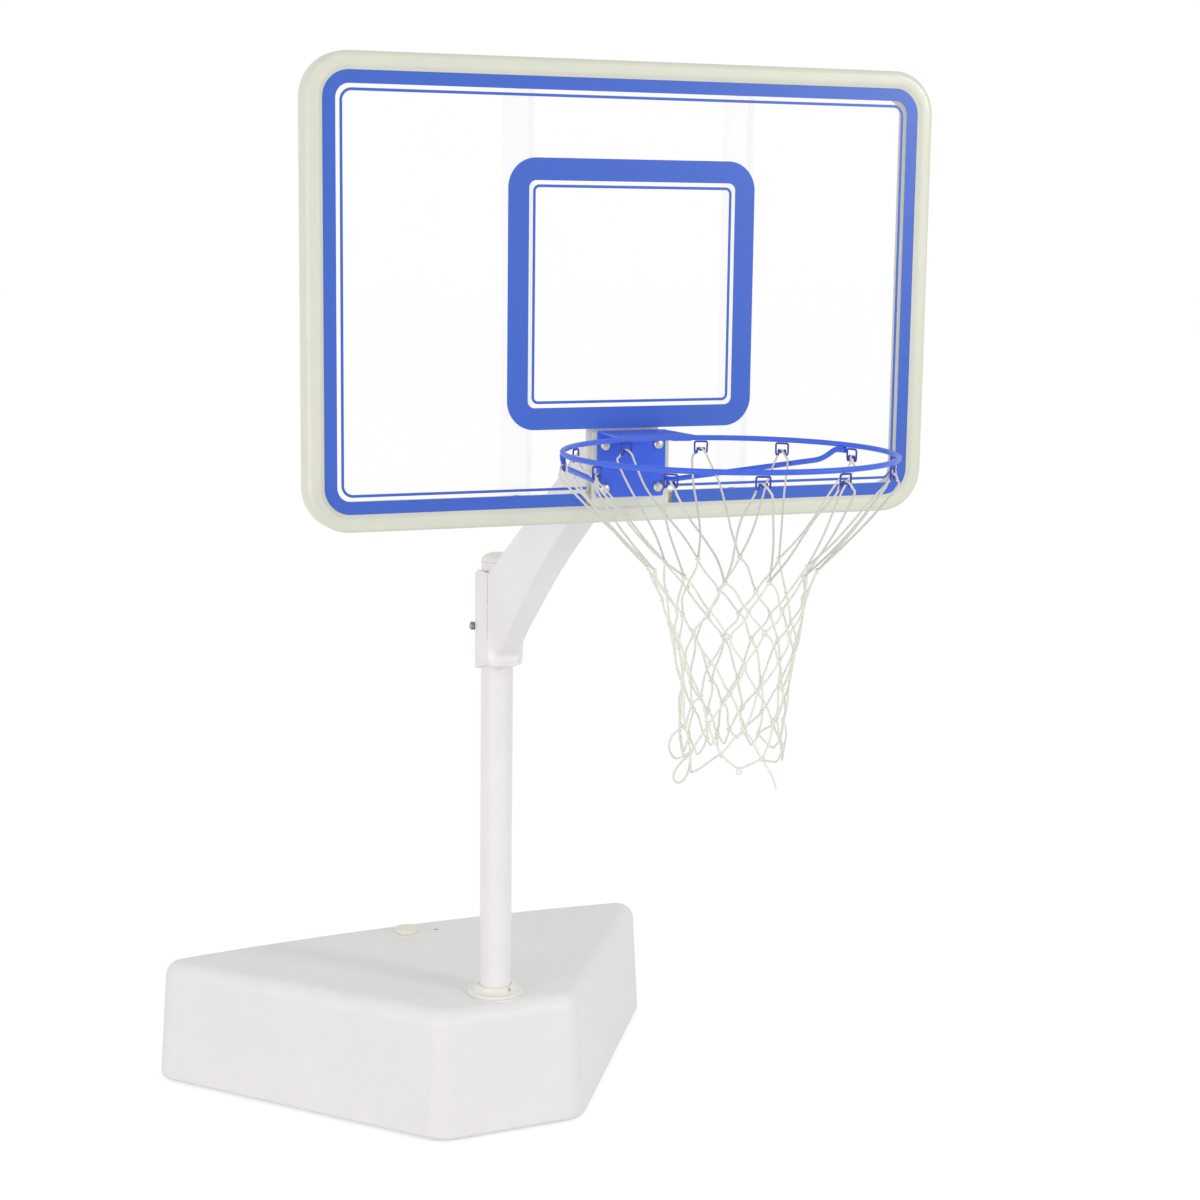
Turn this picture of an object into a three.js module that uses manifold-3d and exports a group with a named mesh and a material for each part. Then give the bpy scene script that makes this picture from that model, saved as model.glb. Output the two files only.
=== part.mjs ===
// A free-standing poolside basketball hoop, in millimetres with +Z up.
// The pole's axis meets the floor at the origin, and the backboard faces -Y.
import * as THREE from 'three';
import { mergeVertices } from 'three/addons/utils/BufferGeometryUtils.js';
import Module from 'manifold-3d';

const wasm = await Module();
wasm.setup();

// Shared clearances and counts
const seatGap = 0.3;
const cutOverrun = 2;
const roundSides = 24;
const fastenerSides = 10;
const domeSteps = 3;

// Pole
const poleRadius = 28.8;
const poleWall = 2;
const poleTop = 1036;
const poleRunningGap = 0.4;
const capDomeHeight = 16;
const capSpigotLength = 25;
const plugFlangeThickness = 4;
const plugSpigotLength = 20;

// Base tank
const baseTurnDegrees = 3.2;
const tankFrontY = -86;
const tankFrontHalfWidth = 140;
const tankBackY = 480;
const tankBackHalfWidth = 553;
const tankBackBow = 31;
const tankFrontCorner = 63;
const tankBackCorner = 48;
const tankHeight = 232;
const tankTopRound = 28;
const tankBottomRound = 10;
const tankCrown = 5;
const tankWall = 5;
const tankLeastCorner = 2.5;
const tankDraftDegrees = 3.5;
const tankCornerSteps = 4;
const tankBowSteps = 5;
const tankRoundSteps = 3;
const crownShares = [0.35, 0.7];
const footHeight = 4;
const footRadius = 24;
const footSides = 8;
const footInset = 62;
const wellFloor = 18;
const wellWall = 5;
const bossRadius = 60;
const bossDraft = 3;
const bossHeight = 5;
const waterDepth = 190;

// Fill port, its cap and seal
const portX = -12;
const portY = 417;
const portBossRadius = 30;
const portBossHeight = 4;
const portNeckRadius = 21;
const portNeckHeight = 4;
const portBoreRadius = 17.5;
const capRadius = 24.5;
const capThreadGap = 0.4;
const capTopThickness = 2.2;
const capDomeRise = 1.7;
const capEdgeRound = 2.5;
const sealThickness = 1.5;
const ventX = 47;
const ventY = 407;
const ventRadius = 2.5;

// Collar round the pole's foot
const collarRadius = 55;
const collarThickness = 5;
const collarEdgeRound = 2;
const collarHubWall = 6;
const collarHubHeight = 16;
const lockScrewRadius = 2.2;
const lockScrewHeadRadius = 3.6;
const lockScrewHeadHeight = 2.6;
const lockScrewDegrees = -69;

// Backboard: its place, and the clear panel
const boardReach = 584;
const boardHeight = 1526;
const panelHalfWidth = 484.4;
const panelHalfHeight = 320.4;
const panelCorner = 42.5;
const panelThickness = 4.5;
const notchHalfWidth = 69;
const notchCorner = 6;
const notchTop = -204.5;

// Backboard frame
const frameFace = 24;
const frameLedge = 22;
const frameWall = 4;
const frameDepth = 35;
const frameLip = 5;
const frameFrontRound = 9;
const frameCornerSteps = 6;
const panelFit = 0.6;
const blockHalfWidth = 64;
const blockSetback = 3;
const notchClearance = 2;

// Struts behind the panel
const strutInnerX = 158;
const strutWidth = 43;
const strutDepth = 22;
const strutSheet = 2;
const strutScrewRadius = 2;
const strutScrewHole = 2.4;
const strutScrewHead = 4.5;
const strutScrewHeadHeight = 3;
const strutScrewLength = 12;

// Rim: plate, ring and braces
const plateHalfWidth = 56;
const plateHeight = 102;
const plateThickness = 4;
const flangeRootHalfWidth = 53;
const flangeFrontHalfWidth = 63;
const flangeArcSteps = 8;
const ringInnerRadius = 228.7;
const ringRodRadius = 3.9;
const ringCentreY = -349.9;
const ringCentreZ = -205.8;
const ringSteps = 48;
const ringSides = 8;
const braceRadius = 4;
const braceSides = 8;
const braceBendSteps = 4;
const braceRootZ = -280;
const braceRootReach = 12;
const braceBendX = 190;
const braceBendY = -222;
const braceBendZ = -233;
const braceBendReach = 26;
const braceEndDegrees = 22;

// Net hooks, one each 30 degrees
const hookCount = 12;
const hookStartDegrees = 15;
const hookWireThickness = 2.8;
const hookHalfWidth = 9.5;
const hookDrop = 17;
const hookShoulder = 3;
const hookHornRise = 7.5;
const hookHornX = 5.4;
const hookDipHalfWidth = 2.6;
const hookFootX = 8.4;
const hookDipRise = 4;

// Rim bolts, with washers and nuts behind the head plate
const boltSpreadX = 44;
const boltSpreadZ = 33;
const boltMiddleZ = -259;
const boltRadius = 4;
const boltHole = 4.5;
const boltHeadRadius = 8;
const boltHeadHeight = 5;
const boltTail = 3;
const washerRadius = 8.5;
const washerThickness = 1.6;
const nutAcrossFlats = 13;
const nutHeight = 6.5;

// Neck arm and its head plate
const headPlateHalfWidth = 60;
const headPlateTop = -190;
const headPlateBottom = -318;
const headPlateThickness = 4;
const armWall = 3;
const armCorner = 8;
const armCornerSteps = 3;
const armSpans = 10;
const armRearTop = -186;
const armFaceTop = -262;
const armSleeveTop = -505;
const armBottom = -668;
const armRearHalfWidth = 31;
const armFaceHalfWidth = 27;
const seamGap = 0.8;

// The arm's face as shares of its reach, its drop and its half width at the top
const armFaceShares = [
  [0, 0, 1],
  [0.168, 0.145, 0.97],
  [0.344, 0.298, 0.926],
  [0.57, 0.5, 0.852],
  [0.796, 0.722, 0.778],
  [0.875, 0.808, 0.741],
  [0.924, 0.867, 0.704],
  [0.955, 0.943, 0.667],
  [0.947, 1, 0.685],
];

// Pole sleeve, its saddle, clamp bolt and jam nut
const sleeveHalfWidth = 33;
const sleeveWall = 3.5;
const sleeveBend = 9;
const sleeveBendSteps = 5;
const sleeveForeEdge = 39.3;
const sleeveLength = 182;
const sleeveChamfer = 9;
const sleeveFootFall = 20;
const saddleThickness = 3;
const clampBoltRise = 77;
const clampBoltDegrees = 135;
const clampBoltRadius = 4;
const clampBoltHole = 4.3;
const clampBoltHeadHeight = 5.3;
const clampNutHeight = 3;
const clampSeat = 0.3;

// Net
const netColumns = 12;
const netCordThickness = 3.2;
const netKnotHalfWidth = 4.6;
const netKnotHalfHeight = 5;
const netKnotHalfDepth = 3.2;
const netDrop = 412;
const netRowShares = [0.391, 0.5, 0.585, 0.672, 0.796, 0.908, 1];
const netRadiusShares = [0.51, 0.437, 0.406, 0.376, 0.327, 0.314, 0.325];
const netLoopDrop = 24;
const netLoopTaper = 4;
const netLoopShare = 0.2;
const netSaddleFall = 6;

// Colours
const cream = { color: 0xdedfd0, roughness: 0.5, metalness: 0 };
const whitePlastic = { color: 0xe9e9e6, roughness: 0.55, metalness: 0 };
const whitePaint = { color: 0xe6e6e8, roughness: 0.35, metalness: 0.1 };
const bluePaint = { color: 0x3c5cd8, roughness: 0.35, metalness: 0.1 };
const clearSheet = { color: 0xf4f7ff, roughness: 0.1, metalness: 0 };
const milkyPlastic = { color: 0xf1f1f0, roughness: 0.3, metalness: 0 };
const steel = { color: 0xc4c4c0, roughness: 0.35, metalness: 0.9 };
const darkSteel = { color: 0x5c5c5c, roughness: 0.5, metalness: 0.8 };
const netCord = { color: 0xe6e6d8, roughness: 0.9, metalness: 0 };
const sealRubber = { color: 0x2b2b2b, roughness: 0.8, metalness: 0 };
const water = { color: 0xa8d4e6, roughness: 0.05, metalness: 0 };

const hoop = new THREE.Group();
const base = new THREE.Group();
base.rotation.z = THREE.MathUtils.degToRad(baseTurnDegrees);
const board = new THREE.Group();
board.position.set(0, -boardReach, boardHeight);
hoop.add(base, board);

function addPiece(group, name, geometry, look) {
  const mesh = new THREE.Mesh(geometry, new THREE.MeshStandardMaterial(look));
  mesh.name = name;
  group.add(mesh);
  return mesh;
}

// A closed geometry as a solid, with its shared vertices merged
function solid(geometry) {
  const bare = new THREE.BufferGeometry();
  bare.setAttribute('position', geometry.getAttribute('position'));
  bare.setIndex(geometry.getIndex());
  const merged = mergeVertices(bare);
  const vertProperties = new Float32Array(merged.getAttribute('position').array);
  const triVerts = new Uint32Array(merged.getIndex().array);
  return new wasm.Manifold(new wasm.Mesh({ numProp: 3, vertProperties, triVerts }));
}

function geometryOf(manifold) {
  const mesh = manifold.getMesh();
  const geometry = new THREE.BufferGeometry();
  geometry.setAttribute('position', new THREE.BufferAttribute(mesh.vertProperties, mesh.numProp));
  geometry.setIndex(new THREE.BufferAttribute(mesh.triVerts, 1));
  geometry.computeVertexNormals();
  return geometry;
}

function joined(first, ...others) {
  return others.reduce((sum, next) => sum.add(solid(next)), solid(first));
}

function carved(body, ...tools) {
  return tools.reduce((rest, tool) => rest.subtract(solid(tool)), body);
}

// A box from its low and high corners
function boxBetween(low, high) {
  const size = high.map((value, i) => value - low[i]);
  const middle = high.map((value, i) => (value + low[i]) / 2);
  return new THREE.BoxGeometry(...size).translate(...middle);
}

// A solid of revolution about +Z, from [radius, height] pairs
function turned(profile, sides) {
  const points = profile.map(([radius, height]) => new THREE.Vector2(radius, height));
  return new THREE.LatheGeometry(points, sides).rotateX(Math.PI / 2);
}

// Profile of a dome, from its rim up to the axis
function domePoints(radius, low, rise) {
  const curve = arcPoints(0, 0, 1, 0, Math.PI / 2, domeSteps).slice(0, domeSteps);
  return [...curve.map(([run, up]) => [radius * run, low + rise * up]), [0, low + rise]];
}

// A plain cylinder along +Z between two heights
function cylinderUp(radius, low, high, sides = roundSides) {
  return turned([[0, low], [radius, low], [radius, high], [0, high]], sides);
}

// A ring along +Z; its profile closes on itself
function ringUp(inner, outer, low, high, sides = roundSides) {
  return turned([[inner, low], [outer, low], [outer, high], [inner, high], [inner, low]], sides);
}

// Sections of equal point counts, skinned; closed end to end, or capped
function skinned(sections, closed) {
  const count = sections[0].length;
  const positions = sections.flat().flatMap((point) => [point.x, point.y, point.z]);
  const index = [];
  const spans = closed ? sections.length : sections.length - 1;
  for (let s = 0; s < spans; s += 1) {
    const here = s * count;
    const next = ((s + 1) % sections.length) * count;
    for (let i = 0; i < count; i += 1) {
      const j = (i + 1) % count;
      index.push(here + i, here + j, next + j);
      index.push(here + i, next + j, next + i);
    }
  }
  if (!closed) {
    addCap(sections[0], 0, true, index);
    addCap(sections[sections.length - 1], (sections.length - 1) * count, false, index);
  }
  const geometry = new THREE.BufferGeometry();
  geometry.setAttribute('position', new THREE.Float32BufferAttribute(positions, 3));
  geometry.setIndex(index);
  geometry.computeVertexNormals();
  return geometry;
}

// Triangulates one flat end section, facing away from the skin
function addCap(section, start, reversed, index) {
  const origin = section[0];
  const normal = new THREE.Vector3();
  section.forEach((point, i) => {
    const next = section[(i + 1) % section.length];
    const here = point.clone().sub(origin);
    normal.add(here.cross(next.clone().sub(origin)));
  });
  normal.normalize();
  const across = section[1].clone().sub(origin).normalize();
  const up = normal.clone().cross(across);
  const flat = section.map((point) => {
    const offset = point.clone().sub(origin);
    return new THREE.Vector2(offset.dot(across), offset.dot(up));
  });
  THREE.ShapeUtils.triangulateShape(flat, []).forEach(([a, b, c]) => {
    if (reversed) index.push(start + a, start + c, start + b);
    else index.push(start + a, start + b, start + c);
  });
}

// Points of a circular arc about a centre, both ends included
function arcPoints(centreX, centreY, radius, from, to, steps) {
  return Array.from({ length: steps + 1 }, (_, i) => {
    const angle = from + ((to - from) * i) / steps;
    return [centreX + radius * Math.cos(angle), centreY + radius * Math.sin(angle)];
  });
}

// A bar of regular section through a run of points, its flats turned to the side given
function barThrough(points, radius, sides, facing, closed = false) {
  const count = points.length;
  const half = Math.PI / sides;
  const circle = arcPoints(0, 0, radius, half, half + 2 * Math.PI, sides).slice(0, sides);
  const across = facing.clone();
  const sections = points.map((point, i) => {
    const before = closed ? points[(i + count - 1) % count] : points[Math.max(i - 1, 0)];
    const after = closed ? points[(i + 1) % count] : points[Math.min(i + 1, count - 1)];
    const into = point.clone().sub(before).normalize();
    const out = after.clone().sub(point).normalize();
    const along = into.add(out).normalize();
    across.addScaledVector(along, -across.dot(along)).normalize();
    const aside = along.clone().cross(across);
    return circle.map(([x, y]) => point.clone().addScaledVector(across, x).addScaledVector(aside, y));
  });
  return skinned(sections, closed);
}

// Rounds off one corner of a run with a quarter-like curve of the given reach
function bend(before, corner, after, reach, steps) {
  const start = corner.clone().add(before.clone().sub(corner).setLength(reach));
  const end = corner.clone().add(after.clone().sub(corner).setLength(reach));
  return new THREE.QuadraticBezierCurve3(start, corner, end).getPoints(steps);
}

// Base tank: a plan outline with drafted walls and rounded edges

function cornerArc(corner, before, after, radius, inset, steps) {
  const toBefore = before.clone().sub(corner).normalize();
  const toAfter = after.clone().sub(corner).normalize();
  const half = Math.acos(toBefore.dot(toAfter)) / 2;
  const inward = toBefore.clone().add(toAfter).normalize();
  const centre = corner.clone().add(inward.clone().multiplyScalar(radius / Math.sin(half)));
  const outward = inward.clone().negate().angle();
  const sweep = Math.PI / 2 - half;
  const left = Math.max(radius - inset, tankLeastCorner);
  return arcPoints(centre.x, centre.y, left, outward - sweep, outward + sweep, steps);
}

function tankOutline(inset, height) {
  const corners = [
    new THREE.Vector2(-tankFrontHalfWidth, tankFrontY),
    new THREE.Vector2(tankFrontHalfWidth, tankFrontY),
    new THREE.Vector2(tankBackHalfWidth, tankBackY),
    new THREE.Vector2(-tankBackHalfWidth, tankBackY),
  ];
  const radii = [tankFrontCorner, tankFrontCorner, tankBackCorner, tankBackCorner];
  const arcs = corners.map((corner, i) => {
    const before = corners[(i + 3) % corners.length];
    const after = corners[(i + 1) % corners.length];
    return cornerArc(corner, before, after, radii[i], inset, tankCornerSteps);
  });
  const [rightX] = arcs[2][tankCornerSteps];
  const [leftX] = arcs[3][0];
  const bow = Array.from({ length: tankBowSteps - 1 }, (_, i) => {
    const share = (i + 1) / tankBowSteps;
    const swell = tankBackBow * 4 * share * (1 - share);
    return [rightX + (leftX - rightX) * share, tankBackY - inset + swell];
  });
  const outline = [...arcs[0], ...arcs[1], ...arcs[2], ...bow, ...arcs[3]];
  return outline.map(([x, y]) => new THREE.Vector3(x, y, height));
}

function draftAt(height) {
  return height * Math.tan(THREE.MathUtils.degToRad(tankDraftDegrees));
}

// The tank's skin moved inwards by a depth, with rounded edges and a crowned top
function tankBody(depth) {
  const bottom = footHeight + depth;
  const top = tankHeight - depth;
  const lowRound = Math.max(tankBottomRound - depth, tankLeastCorner);
  const topRound = Math.max(tankTopRound - depth, tankLeastCorner);
  const quarter = arcPoints(0, 0, 1, 0, Math.PI / 2, tankRoundSteps);
  const levels = [
    ...quarter.map(([run, rise]) => [bottom + lowRound * (1 - run), lowRound * (1 - rise)]),
    ...quarter.map(([run, rise]) => [top - topRound * (1 - rise), topRound * (1 - run)]),
  ];
  const sections = levels.map(([height, edge]) => tankOutline(depth + edge + draftAt(height), height));
  const rim = sections[sections.length - 1];
  const middle = new THREE.Vector3(0, (tankFrontY + tankBackY) / 2, top);
  crownShares.forEach((share) => {
    const lift = new THREE.Vector3(0, 0, tankCrown * (1 - (1 - share) ** 2));
    sections.push(rim.map((point) => point.clone().lerp(middle, share).add(lift)));
  });
  return skinned(sections, false);
}

const wellRadius = poleRadius + poleRunningGap;
const bossTop = tankHeight + tankCrown + bossHeight;
const portBossTop = tankHeight + portBossHeight;
const portNeckTop = portBossTop + portNeckHeight;
const wellOuter = wellRadius + wellWall;

function makeTank() {
  const boss = turned([
    [0, tankHeight - tankTopRound],
    [bossRadius, tankHeight - tankTopRound],
    [bossRadius - bossDraft, bossTop],
    [0, bossTop],
  ], roundSides);
  const well = cylinderUp(wellOuter, 0, tankHeight);
  const port = cylinderUp(portBossRadius, tankHeight - tankWall, portBossTop).translate(portX, portY, 0);
  const neck = cylinderUp(portNeckRadius, tankHeight, portNeckTop).translate(portX, portY, 0);
  const feet = footPlaces().map(([x, y]) => {
    return cylinderUp(footRadius, 0, footHeight + tankWall, footSides).translate(x, y, 0);
  });
  let tank = carved(joined(tankBody(0), boss), tankBody(tankWall));
  const bossUnder = boss.clone().translate(0, 0, -tankWall);
  tank = [port, neck, well, ...feet].reduce((sum, part) => sum.add(solid(part)), tank);
  const bossRoof = solid(boss).subtract(solid(bossUnder));
  tank = tank.add(bossRoof);
  const bore = cylinderUp(wellRadius, wellFloor, bossTop + cutOverrun);
  const fill = cylinderUp(portBoreRadius, tankHeight - portBossRadius, portNeckTop + cutOverrun);
  const vent = cylinderUp(ventRadius, tankHeight - portBossRadius, bossTop, fastenerSides);
  return carved(tank, bore, fill.translate(portX, portY, 0), vent.translate(ventX, ventY, 0));
}

// Where the corner feet stand, in from the outline's four corners
function footPlaces() {
  const outline = tankOutline(footInset, 0);
  const arcLength = tankCornerSteps + 1;
  const middles = [0, 1, 2].map((i) => outline[i * arcLength + tankCornerSteps / 2]);
  const last = outline[outline.length - 1 - tankCornerSteps / 2];
  return [...middles, last].map((point) => [point.x, point.y]);
}

addPiece(base, 'base_tank', geometryOf(makeTank()), whitePlastic);

const aboveWater = boxBetween(
  [-tankBackHalfWidth, tankFrontY, waterDepth],
  [tankBackHalfWidth, tankBackY + tankBackBow, tankHeight + tankCrown],
);
const waterBody = carved(
  solid(tankBody(tankWall + seatGap)),
  aboveWater,
  cylinderUp(wellOuter + seatGap, 0, tankHeight),
);
addPiece(base, 'water_ballast', geometryOf(waterBody), water);

// Fill cap and its seal
const sealLow = portNeckTop + seatGap;
const sealHigh = sealLow + sealThickness;
const capLow = portBossTop + seatGap;
const capInside = sealHigh + seatGap;
const capBore = portNeckRadius + capThreadGap;
const capTop = capInside + capTopThickness;

const fillCap = turned([
  [0, capInside],
  [capBore, capInside],
  [capBore, capLow],
  [capRadius, capLow],
  [capRadius, capTop - capEdgeRound],
  ...domePoints(capRadius - capEdgeRound, capTop, capDomeRise),
], roundSides);
addPiece(base, 'fill_cap', fillCap.translate(portX, portY, 0), whitePlastic);

const capSeal = ringUp(portBoreRadius, portNeckRadius, sealLow, sealHigh);
addPiece(base, 'cap_seal', capSeal.translate(portX, portY, 0), sealRubber);

// Collar and its lock screw
const collarLow = bossTop + seatGap;
const collarHubRadius = wellRadius + collarHubWall;
const collarHubTop = collarLow + collarHubHeight;
const lockScrewZ = collarLow + collarThickness + collarEdgeRound + lockScrewHeadRadius + seatGap;

const collarBody = turned([
  [wellRadius, collarLow],
  [collarRadius, collarLow],
  [collarRadius, collarLow + collarThickness - collarEdgeRound],
  [collarRadius - collarEdgeRound, collarLow + collarThickness],
  [collarHubRadius + collarEdgeRound, collarLow + collarThickness],
  [collarHubRadius, collarLow + collarThickness + collarEdgeRound],
  [collarHubRadius, collarHubTop - collarEdgeRound],
  [collarHubRadius - collarEdgeRound, collarHubTop],
  [wellRadius, collarHubTop],
  [wellRadius, collarLow],
], roundSides);

// Lays a piece made along +Z out along a level direction
function laidOut(geometry, degrees, height) {
  const angle = THREE.MathUtils.degToRad(degrees);
  return geometry.rotateY(Math.PI / 2).rotateZ(angle).translate(0, 0, height);
}

const lockScrewHole = cylinderUp(
  lockScrewRadius + seatGap,
  poleRadius / 2,
  collarRadius,
  fastenerSides,
);
const collar = carved(solid(collarBody), laidOut(lockScrewHole, lockScrewDegrees, lockScrewZ));
addPiece(base, 'pole_collar', geometryOf(collar), whitePlastic);

const lockHeadLow = collarHubRadius + seatGap;
const lockScrew = turned([
  [0, poleRadius + seatGap],
  [lockScrewRadius, poleRadius + seatGap],
  [lockScrewRadius, lockHeadLow],
  [lockScrewHeadRadius, lockHeadLow],
  [lockScrewRadius + lockScrewRadius / 2, lockHeadLow + lockScrewHeadHeight],
  [0, lockHeadLow + lockScrewHeadHeight],
], fastenerSides);
addPiece(base, 'collar_lock_screw', laidOut(lockScrew, lockScrewDegrees, lockScrewZ), darkSteel);

// Pole, top cap and foot plug
const plugLow = wellFloor + seatGap;
const poleLow = plugLow + plugFlangeThickness + seatGap;
const poleBore = poleRadius - poleWall;
const spigotRadius = poleBore - seatGap;
addPiece(hoop, 'pole', ringUp(poleBore, poleRadius, poleLow, poleTop), whitePaint);

const domeLow = poleTop + seatGap;
const dome = domePoints(poleRadius, domeLow, capDomeHeight);
const poleCap = turned([
  [0, poleTop - capSpigotLength],
  [spigotRadius, poleTop - capSpigotLength],
  [spigotRadius, domeLow],
  ...dome,
], roundSides);
addPiece(hoop, 'pole_top_cap', poleCap, whitePlastic);

const footPlug = turned([
  [0, plugLow],
  [poleRadius, plugLow],
  [poleRadius, plugLow + plugFlangeThickness],
  [spigotRadius, plugLow + plugFlangeThickness],
  [spigotRadius, poleLow + plugSpigotLength],
  [0, poleLow + plugSpigotLength],
], roundSides);
addPiece(hoop, 'pole_foot_plug', footPlug, whitePlastic);

// Pole sleeve: a plate bent round the pole's back, its front edges at the arm
const sleeveTop = boardHeight + armSleeveTop;
const sleeveBottom = sleeveTop - sleeveLength;
const clampBoltHeight = sleeveBottom + clampBoltRise;

function sleeveOutline() {
  const inner = sleeveHalfWidth - sleeveWall;
  const bendInner = sleeveBend - sleeveWall;
  const centre = sleeveHalfWidth - sleeveBend;
  const right = arcPoints(centre, centre, sleeveBend, 0, Math.PI / 2, sleeveBendSteps);
  const left = arcPoints(-centre, centre, sleeveBend, Math.PI / 2, Math.PI, sleeveBendSteps);
  const leftInner = arcPoints(-centre, centre, bendInner, Math.PI, Math.PI / 2, sleeveBendSteps);
  const rightInner = arcPoints(centre, centre, bendInner, Math.PI / 2, 0, sleeveBendSteps);
  return [
    [sleeveHalfWidth, -sleeveForeEdge],
    ...right,
    ...left,
    [-sleeveHalfWidth, -sleeveForeEdge],
    [-inner, -sleeveForeEdge],
    ...leftInner,
    ...rightInner,
    [inner, -sleeveForeEdge],
  ];
}

// A flat outline in X and Y, pulled up between two heights
function pulledUp(outline, low, high) {
  const shape = new THREE.Shape(outline.map(([x, y]) => new THREE.Vector2(x, y)));
  const geometry = new THREE.ExtrudeGeometry(shape, { depth: high - low, bevelEnabled: false });
  return geometry.translate(0, 0, low);
}

// A flat outline in X and Z, pulled back from a front to a rear depth
function pulledBack(outline, front, rear, holes = []) {
  const shape = new THREE.Shape(outline.map(([x, z]) => new THREE.Vector2(x, z)));
  shape.holes = holes;
  const geometry = new THREE.ExtrudeGeometry(shape, { depth: rear - front, bevelEnabled: false });
  return geometry.rotateX(Math.PI / 2).translate(0, rear, 0);
}

// A flat outline in Y and Z, pulled across between equal distances left and right
function pulledAcross(outline, half) {
  const shape = new THREE.Shape(outline.map(([y, z]) => new THREE.Vector2(y, z)));
  const geometry = new THREE.ExtrudeGeometry(shape, { depth: 2 * half, bevelEnabled: false });
  return geometry.rotateY(Math.PI / 2).rotateX(Math.PI / 2).translate(-half, 0, 0);
}

const cornerCut = pulledAcross([
  [sleeveHalfWidth - sleeveChamfer - cutOverrun, sleeveTop + cutOverrun],
  [sleeveHalfWidth + cutOverrun, sleeveTop + cutOverrun],
  [sleeveHalfWidth + cutOverrun, sleeveTop - sleeveChamfer - cutOverrun],
], sleeveHalfWidth + cutOverrun);

const footCut = pulledAcross([
  [sleeveHalfWidth, sleeveBottom],
  [-sleeveForeEdge - cutOverrun, sleeveBottom + sleeveFootFall],
  [-sleeveForeEdge - cutOverrun, sleeveBottom - cutOverrun],
  [sleeveHalfWidth, sleeveBottom - cutOverrun],
], sleeveHalfWidth + cutOverrun);

const clampBoltCut = cylinderUp(clampBoltHole, poleRadius / 2, sleeveHalfWidth * 2, fastenerSides);
const sleeve = carved(
  solid(pulledUp(sleeveOutline(), sleeveBottom, sleeveTop)),
  cornerCut,
  footCut,
  laidOut(clampBoltCut, clampBoltDegrees, clampBoltHeight),
);
addPiece(hoop, 'pole_sleeve', geometryOf(sleeve), whitePaint);

const saddleBack = -poleRadius - poleRunningGap;
const saddleHalfWidth = sleeveHalfWidth - sleeveWall - seatGap;
const saddle = boxBetween(
  [-saddleHalfWidth, saddleBack - saddleThickness, sleeveBottom + sleeveFootFall],
  [saddleHalfWidth, saddleBack, sleeveTop],
);
addPiece(hoop, 'sleeve_saddle', saddle, whitePaint);

// Clamp bolt through the sleeve's bend, and its jam nut
const bendReach = (sleeveHalfWidth - sleeveBend) * Math.SQRT2 + sleeveBend;
const jamLow = bendReach + clampSeat;
const jamHigh = jamLow + clampNutHeight;
const clampHeadLow = jamHigh + seatGap;

function hexPrism(acrossFlats, low, high) {
  const points = arcPoints(0, 0, acrossFlats / Math.sqrt(3), 0, 2 * Math.PI, 6).slice(0, 6);
  return pulledUp(points, low, high);
}

function hexNut(acrossFlats, bore, low, high) {
  const hole = cylinderUp(bore, low - cutOverrun, high + cutOverrun, fastenerSides);
  return geometryOf(carved(solid(hexPrism(acrossFlats, low, high)), hole));
}

const clampBolt = joined(
  cylinderUp(clampBoltRadius, poleRadius + seatGap, clampHeadLow + seatGap, fastenerSides),
  hexPrism(nutAcrossFlats, clampHeadLow, clampHeadLow + clampBoltHeadHeight),
);
addPiece(hoop, 'clamp_bolt', laidOut(geometryOf(clampBolt), clampBoltDegrees, clampBoltHeight), darkSteel);
const jamNut = hexNut(nutAcrossFlats, clampBoltHole, jamLow, jamHigh);
addPiece(hoop, 'clamp_jam_nut', laidOut(jamNut, clampBoltDegrees, clampBoltHeight), darkSteel);

// Backboard frame: an open-backed channel swept round the board

const frameHalfWidth = panelHalfWidth + panelFit + frameFace;
const frameHalfHeight = panelHalfHeight + panelFit + frameFace;
const frameCorner = panelCorner + panelFit + frameFace;
const frameBack = frameDepth - frameLip;
const ledgeFront = panelThickness + seatGap;
const windowHalfHeight = frameHalfHeight - frameFace - frameLedge;
const blockBack = frameBack;

// The board's outline moved in from the frame's outer edge
function boardLoop(inset, depth) {
  const radius = Math.max(frameCorner - inset, frameWall);
  const x = frameHalfWidth - inset - radius;
  const z = frameHalfHeight - inset - radius;
  const quarter = Math.PI / 2;
  const corners = [[x, z], [-x, z], [-x, -z], [x, -z]];
  const points = corners.flatMap(([cx, cz], i) => {
    return arcPoints(cx, cz, radius, i * quarter, (i + 1) * quarter, frameCornerSteps - 1);
  });
  return points.map(([px, pz]) => new THREE.Vector3(px, depth, pz));
}

function frameRing() {
  const innerRound = frameFrontRound - frameWall;
  const outerArc = arcPoints(0, 0, 1, 0, Math.PI / 2, 4).map(([run, rise]) => {
    return [frameFrontRound * (1 - run), frameFrontRound * (1 - rise) - frameLip];
  });
  const innerArc = arcPoints(0, 0, 1, Math.PI / 2, 0, 3).map(([run, rise]) => {
    return [frameWall + innerRound * (1 - run), frameWall + innerRound * (1 - rise) - frameLip];
  });
  const section = [
    [0, frameBack],
    ...outerArc,
    [frameFace, -frameLip],
    [frameFace, ledgeFront],
    [frameFace + frameLedge, ledgeFront],
    [frameFace + frameLedge, frameBack],
    [frameFace + frameLedge - frameWall, frameBack],
    [frameFace + frameLedge - frameWall, ledgeFront + frameWall],
    [frameFace - frameWall, ledgeFront + frameWall],
    [frameFace - frameWall, frameWall - frameLip],
    ...innerArc,
    [frameWall, frameBack],
  ];
  return skinned(section.map(([inset, depth]) => boardLoop(inset, depth)), true);
}

const boltPlaces = [
  [-boltSpreadX, boltMiddleZ + boltSpreadZ],
  [boltSpreadX, boltMiddleZ + boltSpreadZ],
  [-boltSpreadX, boltMiddleZ - boltSpreadZ],
  [boltSpreadX, boltMiddleZ - boltSpreadZ],
];

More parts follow.
